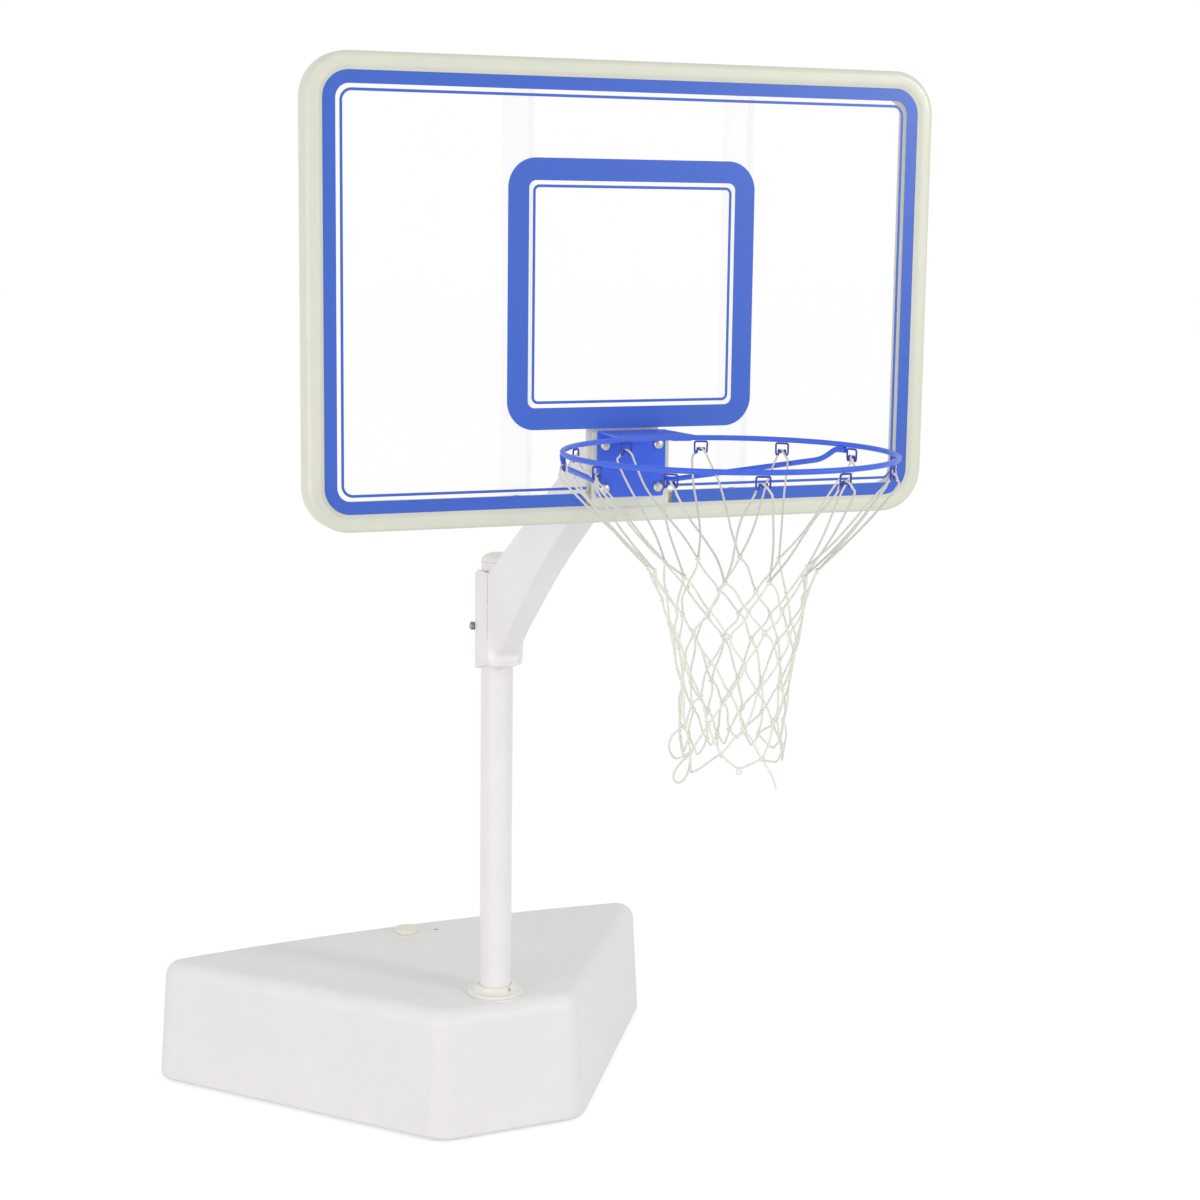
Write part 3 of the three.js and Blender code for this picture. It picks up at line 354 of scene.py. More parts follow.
def cord_finish(name, colour):
    """Twisted cord: strands wind round it, by its own map of turns across and metres along, with painted
    shade in the grooves between them.
    """
    material, start = new_finish(name)
    lay = bpy.context.scene.hoop_sizes.lay
    cord_map = start.add("ShaderNodeUVMap", {"uv_map": "UVMap"})
    across = start.add("ShaderNodeSeparateXYZ", None, {"Vector": cord_map}, "X")
    along = start.add("ShaderNodeSeparateXYZ", None, {"Vector": cord_map}, "Y")
    phase = (across * CORD_STRANDS + along * (1 / lay)) * (2 * math.pi)
    strand = start.sum("SINE", phase) * 0.5 + 0.5
    place = object_place(start)
    fuzz = noise(start, place, 2400, 3, 0.7)
    soil = between(start, noise(start, place, 16, 4, 0.6), 0.45, 0.7)
    # The grooves between the strands are painted darker: painted shade, not a colour of the cord. The soil
    # below is dirt.
    groove_shaded_yarn = mixed(start, strand, shade(colour, 0.8), shade(colour, 1.02))
    groove_shaded_yarn = mixed(start, soil * 0.3, groove_shaded_yarn, shade(colour, 0.86))
    return close_finish(start, material, {
        "Base Color": groove_shaded_yarn,
        "Roughness": 0.78 + fuzz * 0.15,
        "Normal": bumped(start, strand + fuzz * 0.3, 0.0004, 0.6),
        "Sheen Weight": 0.25,
    })


# Each finish: its maker, its colour in HoopColours and the maker's other values
FINISHES = {
    "base_plastic": (moulded_finish, "tank", 480, 0.42, 0.004),
    "cap_plastic": (moulded_finish, "cap", 900, 0.34, 0.0005, 0.2),
    "collar_plastic": (moulded_finish, "collar", 900, 0.36, 0.0005, 0.12),
    "frame_plastic": (moulded_finish, "moulding", 760, 0.36, 0.0016, 0.15),
    "strut_plastic": (milky_finish, "strut"),
    "clear_sheet": (clear_finish, "sheet"),
    "printed_blue": (ink_finish, "ink"),
    "white_paint": (painted_finish, "paint", 0.28, 0.0, 0.2),
    "blue_paint": (painted_finish, "rim", 0.34, 0.04, 0.03, 0.24),
    "hook_paint": (painted_finish, "hook", 0.34, 0.1, 0.03, 0.24),
    "steel": (metal_finish, "steel", 0.3),
    "dark_steel": (metal_finish, "dark_steel", 0.38),
    "seal_rubber": (rubber_finish, "rubber"),
    "water": (water_finish, "water"),
    "net_cord": (cord_finish, "cord"),
}


def finish(name):
    """A finish by its name in the list, made the first time it is asked for."""
    own = f"hoop_{name}"
    if own in bpy.data.materials:
        return bpy.data.materials[own]
    maker, colour, *values = FINISHES[name]
    return maker(own, getattr(bpy.context.scene.hoop_colours, colour), *values)


# Shaping


def verts_of(result, key="geom"):
    """The vertices in what an operator gave back."""
    return [item for item in result[key] if isinstance(item, bmesh.types.BMVert)]


def edges_of(result, key="geom"):
    """The edges in what an operator gave back."""
    return [item for item in result[key] if isinstance(item, bmesh.types.BMEdge)]


def shift(bm, vec, verts=None):
    """Moves a shape, or only some of its vertices."""
    bmesh.ops.translate(bm, verts=bm.verts if verts is None else verts, vec=vec)


def slice_off(bm, place, normal, **dropped):
    """Cuts a shape along a plane; clear_outer or clear_inner drops what is on one side of it."""
    everything = bm.verts[:] + bm.edges[:] + bm.faces[:]
    bmesh.ops.bisect_plane(bm, geom=everything, dist=0.001, plane_co=place, plane_no=normal, **dropped)


def join(bm, other):
    """Adds another shape to a shape."""
    mesh = bpy.data.meshes.new("joined")
    other.to_mesh(mesh)
    other.free()
    bm.from_mesh(mesh)
    bpy.data.meshes.remove(mesh)


def draw_outline(bm, corners, steps, closed=True):
    """Draws a line through corners of (x, y, radius), each rounded by a true arc, and gives its edges."""
    first_edge = len(bm.edges)
    runs = []
    count = len(corners)
    for i, (x, y, radius) in enumerate(corners):
        here = Vector((x, y))
        at_end = not closed and i in (0, count - 1)
        if radius <= 0 or at_end:
            vert = bm.verts.new((x, y, 0))
            runs.append((vert, vert))
            continue
        before = (Vector(corners[i - 1][:2]) - here).normalized()
        after = (Vector(corners[(i + 1) % count][:2]) - here).normalized()
        half = before.angle(after) / 2
        centre = here + (before + after).normalized() * (radius / math.sin(half))
        start = bm.verts.new((*(here + before * (radius / math.tan(half))), 0))
        side = 1 if before.x * after.y - before.y * after.x < 0 else -1
        swept = bmesh.ops.spin(
            bm, geom=[start], cent=(*centre, 0), axis=UPRIGHT,
            angle=side * (math.pi - 2 * half), steps=steps,
        )
        runs.append((start, verts_of(swept, "geom_last")[0]))
    pairs = zip(runs, runs[1:] + runs[:1]) if closed else zip(runs, runs[1:])
    for (_, end), (start, _) in pairs:
        bm.edges.new((end, start))
    bm.edges.ensure_lookup_table()
    return bm.edges[first_edge:]


def rectangle(half, low, high, top_round, low_round):
    """The corners of an upright rectangle about the middle line, with the rounds of its corners."""
    top = [(half, high, top_round), (-half, high, top_round)]
    return top + [(-half, low, low_round), (half, low, low_round)]


def draw_face(bm, corners, steps):
    """A flat face inside a rounded outline."""
    edges = draw_outline(bm, corners, steps)
    face = bmesh.ops.contextual_create(bm, geom=edges)["faces"][0]
    bm.normal_update()
    if face.normal.z < 0:
        face.normal_flip()
    return face


def raise_faces(bm, faces, height):
    """Pulls flat faces up into a plate of a height."""
    raised = bmesh.ops.extrude_face_region(bm, geom=list(faces))
    shift(bm, (0, 0, height), verts_of(raised))


def draw_plate(bm, corners, height, steps):
    """A plate with a rounded outline."""
    raise_faces(bm, [draw_face(bm, corners, steps)], height)


def close_holes(bm):
    """Fills what openings are left."""
    bmesh.ops.holes_fill(bm, edges=[edge for edge in bm.edges if edge.is_boundary], sides=0)


def draw_box(bm, low, high):
    """A box between two corners."""
    made = bmesh.ops.create_cube(bm, size=1)["verts"]
    bmesh.ops.scale(bm, verts=made, vec=Vector(high) - Vector(low))
    shift(bm, (Vector(high) + Vector(low)) / 2, made)


def give_wall(bm, known, outwards, thickness):
    """Gives an open sheet its wall, inwards from a known face whose outside looks to +Y or -Y."""
    if known.normal.y * outwards < 0:
        bmesh.ops.reverse_faces(bm, faces=bm.faces)
    bmesh.ops.solidify(bm, geom=bm.faces[:], thickness=thickness)


def turn_profile(bm, profile, steps):
    """Turns a profile of (radius, height) pairs about the Z axis; gives the new vertices."""
    before = set(bm.verts)
    verts = [bm.verts.new((radius, 0, height)) for radius, height in profile]
    pairs = list(zip(verts, verts[1:]))
    if profile[0][0] > 0 and profile[-1][0] > 0:
        pairs.append((verts[-1], verts[0]))
    edges = [bm.edges.new(pair) for pair in pairs]
    bmesh.ops.spin(
        bm, geom=verts + edges, cent=(0, 0, 0), axis=UPRIGHT,
        angle=2 * math.pi, steps=steps, use_merge=True,
    )
    made = [vert for vert in bm.verts if vert not in before]
    bmesh.ops.remove_doubles(bm, verts=made, dist=0.001)
    return [vert for vert in bm.verts if vert not in before]


def arc(radius_out, height_out, from_degrees, to_degrees, middle, steps):
    """Points of an elliptic arc in a profile, about a middle of (radius, height)."""
    points = []
    for i in range(steps + 1):
        angle = math.radians(from_degrees + (to_degrees - from_degrees) * i / steps)
        points.append((middle[0] + radius_out * math.cos(angle), middle[1] + height_out * math.sin(angle)))
    return points


def dome(radius, low, rise, steps):
    """The profile of a dome from its rim, above a height, up to its middle on the axis."""
    return arc(radius, rise, 0, 90, (0, low), steps)[:-1] + [(0, low + rise)]


def soften(bm, width, segments=2, least=35, chosen=None):
    """Bevels the edges that turn more than so many degrees."""
    bmesh.ops.recalc_face_normals(bm, faces=bm.faces)
    edges = [
        edge for edge in bm.edges
        if len(edge.link_faces) == 2 and edge.calc_face_angle(0) > math.radians(least)
        and (chosen is None or chosen(edge))
    ]
    bmesh.ops.bevel(
        bm, geom=edges, offset=width, offset_type="OFFSET", affect="EDGES",
        segments=segments, profile=0.5, material=-1, clamp_overlap=True,
    )


def turn_about(bm, matrix, verts=None):
    """Turns a shape, or only some of its vertices, about the origin."""
    bmesh.ops.rotate(bm, verts=bm.verts if verts is None else verts, cent=(0, 0, 0), matrix=matrix)


def stand_up(bm):
    """Turns what is drawn flat to stand: what was up now faces forwards."""
    turn_about(bm, Matrix.Rotation(QUARTER, 3, "X"))


def lay_along(bm, verts, degrees, height):
    """Lays what was drawn along Z out along a level direction from the axis, at a height."""
    turn_about(bm, Matrix.Rotation(math.radians(degrees), 3, "Z") @ Matrix.Rotation(QUARTER, 3, "Y"), verts)
    shift(bm, (0, 0, height), verts)


def set_piece(name, bm, body, slot, stands_for=(), look=None, sharp=32, weighted=False):
    """Merges, scales and links a shape as a finished piece that rides on a body."""
    bmesh.ops.remove_doubles(bm, verts=bm.verts, dist=0.002)
    bmesh.ops.recalc_face_normals(bm, faces=bm.faces)
    bmesh.ops.scale(bm, vec=(MM, MM, MM), verts=bm.verts)
    mesh = bpy.data.meshes.new(name)
    bm.to_mesh(mesh)
    bm.free()
    mesh.shade_smooth()
    mesh.set_sharp_from_angle(angle=math.radians(sharp))
    piece = bpy.data.objects.new(name, mesh)
    bpy.context.scene.collection.objects.link(piece)
    mesh.materials.append(finish(look or slot))
    if weighted:
        modifier = piece.modifiers.new("Even shading", "WEIGHTED_NORMAL")
        modifier.keep_sharp = True
    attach(piece, body)
    if stands_for:
        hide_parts(*stands_for)


def tube_mesh(points, radius, sides, cyclic):
    """The mesh of a round bar or cord through points."""
    curve = bpy.data.curves.new("bar", "CURVE")
    curve.dimensions = "3D"
    curve.bevel_depth = radius
    curve.bevel_resolution = max(0, sides // 2 - 2)
    curve.use_fill_caps = not cyclic
    curve.twist_mode = "MINIMUM"
    spline = curve.splines.new("POLY")
    spline.points.add(len(points) - 1)
    for place, point in zip(spline.points, points):
        place.co = (*point, 1)
    spline.use_cyclic_u = cyclic
    spline.use_smooth = True
    holder = bpy.data.objects.new("bar", curve)
    mesh = bpy.data.meshes.new_from_object(holder)
    bpy.data.objects.remove(holder)
    bpy.data.curves.remove(curve)
    return mesh


def add_tube(bm, points, radius, sides, cyclic=False):
    """Adds a round bar through points to a shape, with a map of turns across and metres along."""
    faces_before = set(bm.faces)
    mesh = tube_mesh(points, radius, sides, cyclic)
    bm.from_mesh(mesh)
    bpy.data.meshes.remove(mesh)
    layer = bm.loops.layers.uv["UVMap"]
    reach = sum((Vector(b) - Vector(a)).length for a, b in zip(points, points[1:])) * MM
    for face in bm.faces:
        if face in faces_before:
            continue
        face.smooth = True
        for loop in face.loops:
            loop[layer].uv.y *= reach


def smooth_run(points, steps, cyclic=False):
    """A smooth run through points, by a spline that passes through each."""
    points = [Vector(point) for point in points]
    count = len(points)
    spans = count if cyclic else count - 1
    run = []
    for i in range(spans):
        if cyclic:
            a, b, c, d = (points[(i + k) % count] for k in (-1, 0, 1, 2))
        else:
            a, b, c, d = (points[min(max(i + k, 0), count - 1)] for k in (-1, 0, 1, 2))
        for k in range(steps):
            t = k / steps
            run.append(0.5 * (
                2 * b + (c - a) * t + (2 * a - 5 * b + 4 * c - d) * t ** 2
                + (3 * b - a - 3 * c + d) * t ** 3
            ))
    if not cyclic:
        run.append(points[-1])
    return run


def bend_point(start, corner, end, share):
    """A point of the bend that rounds a corner off between two points beside it."""
    return start * (1 - share) ** 2 + corner * (2 * share * (1 - share)) + end * share ** 2


def bent_run(points, reaches, steps):
    """A run of straight lengths with each inner corner rounded off by its reach."""
    points = [Vector(point) for point in points]
    run = [points[0]]
    for before, corner, after, reach in zip(points, points[1:], points[2:], reaches):
        start = corner + (before - corner).normalized() * reach
        end = corner + (after - corner).normalized() * reach
        run += [bend_point(start, corner, end, k / steps) for k in range(steps + 1)]
    run.append(points[-1])
    return run


def at_base(bm):
    """Turns a shape drawn in the base's own frame to the base's place."""
    turn_about(bm, Matrix.Rotation(BASE_TURN, 3, "Z"))


def at_board(bm):
    """Moves a shape drawn about the board's middle to the board's place."""
    shift(bm, BOARD_PLACE)


# Base

# The tank's outline at the floor, its corners as (x, y, radius); its walls lean in by the draft
TANK_CORNERS = [(-140, -86, 63), (140, -86, 63), (552.5, 479.8, 48), (-552.5, 479.8, 48)]
TANK_HEIGHT = 232
TANK_DRAFT = 14.19
TANK_TOP_ROUND = 28
TANK_FOOT_ROUND = 10
# The top's low crown: how high its middle stands, where that is, and the rings that shape it
TANK_CROWN = 5
CROWN_MIDDLE = Vector((0, 197, 0))
CROWN_SHARES = [step / 10 for step in range(1, 8)]
# How much higher the top's front edge lies than the fill neck, and where that edge is
TANK_LIFT = 9.5
LIFT_FRONT = -86
# The back edge's bow, and the cuts that let it bend
BACK_BOW = 29.8
BACK_CUTS = 23
# The underside's height, and the places of the feet, the fill neck and the vent
FOOT_HEIGHT = 4
FEET = [(-109.1, -25.2), (109.1, -25.2), (460.8, 433.1), (-460.8, 433.1)]
PORT = Vector((-12, 417, 0))
VENT = Vector((47, 407, 0))
WELL_RADIUS = 29.2
BOSS_LOW = 206


def bow_back(bm, edges):
    """Bows the outline's straight back edge outwards."""
    behind = [edge for edge in edges if min(vert.co.y for vert in edge.verts) > CROWN_MIDDLE.y]
    back = max(behind, key=lambda edge: edge.calc_length())
    split = bmesh.ops.subdivide_edges(bm, edges=[back], cuts=BACK_CUTS)
    inner = verts_of(split, "geom_split")
    half = max(abs(vert.co.x) for vert in inner) * (BACK_CUTS + 1) / (BACK_CUTS - 1)
    for vert in inner:
        vert.co.y += BACK_BOW * (1 - (vert.co.x / half) ** 2)


def draw_tank_shell(bm):
    """The tank's drafted wall with its rounded edges, cut off level above its feet."""
    edges = draw_outline(bm, TANK_CORNERS, 12)
    bow_back(bm, edges)
    face = bmesh.ops.contextual_create(bm, geom=bm.edges[:])["faces"][0]
    bm.normal_update()
    if face.normal.z < 0:
        face.normal_flip()
    bmesh.ops.inset_region(
        bm, faces=[face], thickness=TANK_DRAFT, depth=TANK_HEIGHT,
        use_even_offset=True, use_boundary=True,
    )
    slice_off(bm, (0, 0, FOOT_HEIGHT), UPRIGHT, clear_inner=True)
    close_holes(bm)
    soften(bm, TANK_TOP_ROUND, 10, 60, lambda edge: min(v.co.z for v in edge.verts) > TANK_HEIGHT - 1)
    soften(bm, TANK_FOOT_ROUND, 5, 60, lambda edge: max(v.co.z for v in edge.verts) < FOOT_HEIGHT + 1)


def crown_top(bm):
    """Raises the top's middle in rings, and its front edge by tilting what is above the feet."""
    bm.normal_update()
    top = max(bm.faces, key=lambda face: face.calc_center_median().z * (face.normal.z > 0.99))
    last = 0
    for share in CROWN_SHARES:
        bmesh.ops.inset_region(bm, faces=[top], thickness=0, use_even_offset=False)
        shrink = (1 - share) / (1 - last)
        rise = TANK_CROWN * ((1 - last) ** 2 - (1 - share) ** 2)
        space = Matrix.Translation(-CROWN_MIDDLE)
        bmesh.ops.scale(bm, verts=top.verts[:], vec=(shrink, shrink, 1), space=space)
        shift(bm, (0, 0, rise), top.verts[:])
        last = share
    for vert in bm.verts:
        lift = TANK_LIFT * (1 - (vert.co.y - LIFT_FRONT) / (PORT.y - LIFT_FRONT))
        vert.co.z += lift * (vert.co.z - FOOT_HEIGHT) / TANK_HEIGHT


def add_boss_and_feet(bm, steps):
    """Adds the pole's boss on the top, the pad under the middle and the four corner feet."""
    rim = [(53.6, BOSS_LOW), (53.4, 236), (53, 239), (52.2, 240.8), (51.4, 241.7), (50.4, 242)]
    turn_profile(bm, [(0, BOSS_LOW), *rim, (0, 242)], steps)
    turn_profile(bm, [(0, 30), (34, 30), (34.2, 1.6), (33.2, 0.0), (0, 0)], steps)
    for x, y in FEET:
        profile = [(0, 12), (25.5, 12), (24, 2), *arc(2, 2, 0, -90, (22, 2), 4)[1:], (0, 0)]
        shift(bm, (x, y, 0), turn_profile(bm, profile, 32))


def add_ports(bm):
    """Adds the fill neck on its raised seat, with the end of its thread, and the vent's rim."""
    seat = [(0, 222), (32.4, 222), (31, 233), *arc(2.4, 2.4, 0, 90, (28.6, 233.6), 4), (0, 236)]
    neck = [(17.5, 224), (21, 224), (21, 239.4), (20.4, 240), (18.1, 240), (17.5, 239.4)]
    thread = [(20.8, 237.2), (21.3, 237.7), (21.3, 238.1), (20.8, 238.6)]
    for profile in (seat, neck, thread):
        shift(bm, PORT, turn_profile(bm, profile, 48))
    vent = [(3.5, 230.6), (5, 230.6), (5, 235.1), (4.6, 235.6), (3.9, 235.6), (3.5, 235.2)]
    shift(bm, VENT, turn_profile(bm, vent, 24))


class HOOP_OT_mould_tank(bpy.types.Operator):
    """Mould the ballast tank with its boss, fill neck, vent and feet"""

    bl_idname = "hoop.mould_tank"
    bl_label = "Ballast tank"

    def execute(self, context):
        bm = bmesh.new()
        draw_tank_shell(bm)
        crown_top(bm)
        add_boss_and_feet(bm, context.scene.hoop_sizes.turns)
        add_ports(bm)
        at_base(bm)
        set_piece("ballast_tank", bm, "base", "base_plastic", ["base_tank"], weighted=True)
        bm = bmesh.new()
        plug = [(0, 234.4), (3.2, 234.4), (3.2, 236.1), (2.7, 236.4), (1.4, 235.9), (0, 235.7)]
        turn_profile(bm, plug, 24)
        shift(bm, VENT)
        at_base(bm)
        set_piece("vent_plug", bm, "base", "seal_rubber")
        return {"FINISHED"}


CAP_LOW = 236.3
CAP_UNDERSIDE = 242.1
# How deep a groove between two ribs is, and the height over which the grooves run out
RIB_DEPTH = 0.7
RIB_FADE = 2


def groove_cap(bm, ribs):
    """Presses the grooves between the grip ribs into the cap's side."""
    for vert in bm.verts:
        reach = Vector((vert.co.x, vert.co.y)).length
        if reach > 23 and vert.co.z < CAP_UNDERSIDE + 0.2:
            angle = math.atan2(vert.co.y, vert.co.x)
            groove = RIB_DEPTH / 2 + RIB_DEPTH / 2 * math.cos(ribs * angle)
            ease = min(1, max(0, (CAP_UNDERSIDE + 0.1 - vert.co.z) / RIB_FADE))
            vert.co.x *= 1 - groove * ease / reach
            vert.co.y *= 1 - groove * ease / reach


class HOOP_OT_fit_fill_cap(bpy.types.Operator):
    """Turn the ribbed fill cap and its sealing washer"""

    bl_idname = "hoop.fit_fill_cap"
    bl_label = "Fill cap and seal"

    def execute(self, context):
        ribs = context.scene.hoop_sizes.cap_ribs
        bm = bmesh.new()
        skirt = [(21.4, CAP_UNDERSIDE), (21.4, CAP_LOW), (24.2, CAP_LOW), (24.5, CAP_LOW + 0.3)]
        skirt += arc(2.2, 2.2, 0, 90, (22.3, CAP_UNDERSIDE), 5)
        turn_profile(bm, [(0, CAP_UNDERSIDE)] + skirt + dome(22.3, 244.3, 1.7, 8)[1:], ribs * 8)
        groove_cap(bm, ribs)
        shift(bm, PORT)
        at_base(bm)
        set_piece("ribbed_fill_cap", bm, "cap", "base_plastic", ["fill_cap"], look="cap_plastic")
        bm = bmesh.new()
        under = [(17.5, 240.5), (17.8, 240.3), (20.7, 240.3), (21, 240.5)]
        over = [(21, 241.6), (20.7, 241.8), (17.8, 241.8), (17.5, 241.6)]
        turn_profile(bm, under + over, 64)
        shift(bm, PORT)
        at_base(bm)
        set_piece("sealing_washer", bm, "seal", "seal_rubber", ["cap_seal"])
        return {"FINISHED"}


COLLAR_LOW = 242.3
COLLAR_HUB = WELL_RADIUS + 6
LOCK_SCREW_ANGLE = -69
LOCK_SCREW_HEIGHT = 253.6


class HOOP_OT_fit_collar(bpy.types.Operator):
    """Turn the collar round the pole's foot and its lock screw"""

    bl_idname = "hoop.fit_collar"
    bl_label = "Collar"

    def execute(self, context):
        bm = bmesh.new()
        profile = [(WELL_RADIUS, COLLAR_LOW), (50.6, COLLAR_LOW), (51.2, COLLAR_LOW + 0.6)]
        profile += arc(2, 2, 0, 90, (49.2, 245.3), 4)
        profile += arc(10.5, 8.5, 270, 180, (COLLAR_HUB + 10.5, 255.8), 8)
        profile += arc(1.6, 1.6, 0, 90, (COLLAR_HUB - 1.6, 256.7), 4)
        profile += [(WELL_RADIUS + 0.8, 258.3), (WELL_RADIUS, 257.5)]
        turn_profile(bm, profile, context.scene.hoop_sizes.turns)
        at_base(bm)
        set_piece("foot_collar", bm, "base", "base_plastic", ["pole_collar"], look="collar_plastic")
        bm = bmesh.new()
        shank = [(0, 29.1), (2.2, 29.1), (2.2, 35.5)]
        head = [(3, 35.5), (3, 36.6), (2.8, 37.3), (2.1, 37.8), (1.5, 37.8), (1.3, 36.9), (0, 36.9)]
        lay_along(bm, turn_profile(bm, shank + head, 24), LOCK_SCREW_ANGLE, LOCK_SCREW_HEIGHT)
        at_base(bm)
        set_piece("foot_lock_screw", bm, "base", "dark_steel", ["collar_lock_screw"], look="steel")
        return {"FINISHED"}


# Pole and neck

POLE_RADIUS = 28.8
POLE_LOW = 22.6
POLE_HIGH = 1036
SLEEVE_LOW = 839
SLEEVE_FORE_LOW = 859
SLEEVE_HIGH = 1021
# The sleeve's half width, its front edges, the corners' round and its wall
SLEEVE_HALF = 33
SLEEVE_FRONT = -36.6
SLEEVE_ROUND = 9
SLEEVE_WALL = 3.5
# How far forwards the sleeve's lower edge takes to climb to SLEEVE_FORE_LOW
SLEEVE_CLIMB = 72.3
# The welds across the seam between sleeve and arm: each one's lower and upper end
SEAM_WELDS = [(864, 901), (956, 965)]
# The clamp bolt: its height, its level direction, where it leaves the sleeve's rounded corner,
# measured from the pole's axis, its radius and its head's width across flats
CLAMP_HEIGHT = 916
CLAMP_ANGLE = 135
CLAMP_OUT = (SLEEVE_HALF - SLEEVE_ROUND) * math.sqrt(2) + SLEEVE_ROUND
CLAMP_THREAD = 4
CLAMP_ACROSS = 13


class HOOP_OT_set_pole(bpy.types.Operator):
    """Turn the pole, its domed top cap and its foot plug"""

    bl_idname = "hoop.set_pole"
    bl_label = "Pole"

    def execute(self, context):
        steps = context.scene.hoop_sizes.turns
        bm = bmesh.new()
        low, high = POLE_LOW + 0.5, POLE_HIGH - 0.4
        levels = [low + (high - low) * i / 12 for i in range(13)]
        outer = [(POLE_RADIUS, level) for level in levels]
        inner = [(POLE_RADIUS - 2, level) for level in reversed(levels)]
        top = [(POLE_RADIUS - 0.4, POLE_HIGH), (POLE_RADIUS - 1.6, POLE_HIGH)]
        profile = [(POLE_RADIUS - 0.4, POLE_LOW)] + outer + top + inner
        turn_profile(bm, profile + [(POLE_RADIUS - 1.6, POLE_LOW)], steps)
        set_piece("pole_tube", bm, "pole", "white_paint", ["pole"])
        bm = bmesh.new()
        plug = [(0, 1011), (25.5, 1011), (26.5, 1012.5), (26.5, POLE_HIGH + 0.3)]
        rim = [(POLE_RADIUS - 0.3, POLE_HIGH + 0.3), (POLE_RADIUS, POLE_HIGH + 0.6)]
        turn_profile(bm, plug + rim + dome(POLE_RADIUS, 1038.3, 14, 12), steps)
        set_piece("pole_dome_cap", bm, "pole", "cap_plastic", ["pole_top_cap"], look="collar_plastic")
        bm = bmesh.new()
        flange = [(0, 18.3), (28.2, 18.3), (28.8, 18.9), (28.8, 22), (28.5, 22.3), (26.5, 22.3)]
        turn_profile(bm, flange + [(26.5, 41.5), (25.4, 42.6), (0, 42.6)], steps)
        set_piece("pole_foot_stopper", bm, "pole", "cap_plastic", ["pole_foot_plug"])
        return {"FINISHED"}


# A hexagon's parts as shares: the core inside its flats that stays round, the flat face out to
# where the chamfer starts, and how far the chamfer falls
HEX_CORE = 0.44
HEX_LAND = 0.96
HEX_FALL = 0.6


def hex_head(bm, across, profile):
    """A hexagon head or nut with turned chamfers; its profile's outer points reach the corners."""
    verts = turn_profile(bm, profile, 48)
    for vert in verts:
        reach = Vector((vert.co.x, vert.co.y)).length
        if reach < across * HEX_CORE:
            continue
        angle = math.atan2(vert.co.y, vert.co.x) % (math.pi / 3) - math.pi / 6
        flat = across / 2 / math.cos(angle)
        if reach > flat:
            vert.co.x *= flat / reach
            vert.co.y *= flat / reach
    return verts


def hex_profile(across, low, high, bore=0.0):
    """The turned profile that a hexagon is cut from, with both faces chamfered."""
    corner = across / math.sqrt(3)
    land = across / 2 * HEX_LAND
    fall = (corner - across / 2) * HEX_FALL
    side = [(corner, low + fall), (corner, high - fall)]
    return [(bore, low), (land, low), *side, (land, high), (bore, high)]


def draw_sleeve(edge):
    """The sleeve: a plate bent round the pole from behind, with the welds that join it to the arm."""
    bm = bmesh.new()
    bends = [(SLEEVE_HALF, SLEEVE_HALF, SLEEVE_ROUND), (-SLEEVE_HALF, SLEEVE_HALF, SLEEVE_ROUND)]
    path = [(SLEEVE_HALF, SLEEVE_FRONT, 0), *bends, (-SLEEVE_HALF, SLEEVE_FRONT, 0)]
    rail = draw_outline(bm, path, 8, closed=False)
    pulled = bmesh.ops.extrude_edge_only(bm, edges=rail)
    shift(bm, (0, 0, SLEEVE_HIGH - SLEEVE_LOW), verts_of(pulled))
    shift(bm, (0, 0, SLEEVE_LOW))
    bmesh.ops.recalc_face_normals(bm, faces=bm.faces)
    back = max(bm.faces, key=lambda face: face.calc_center_median().y)
    give_wall(bm, back, 1, SLEEVE_WALL)
    slice_off(bm, (0, 12, SLEEVE_HIGH), (0, 0.6, 1), clear_outer=True)
    climb = (0, SLEEVE_FORE_LOW - SLEEVE_LOW, SLEEVE_CLIMB)
    slice_off(bm, (0, SLEEVE_HALF, SLEEVE_LOW), climb, clear_inner=True)
    close_holes(bm)
    soften(bm, edge, 2, 50)
    for side in (-1, 1):
        for low, high in SEAM_WELDS:
            ends = [(side * 32.2, -39.4, low), (side * 32.2, -39.4, high)]
            weld_bead(bm, [ends[0], (side * 32.4, -39.5, (low + high) / 2), ends[1]], 1.5)
    return bm


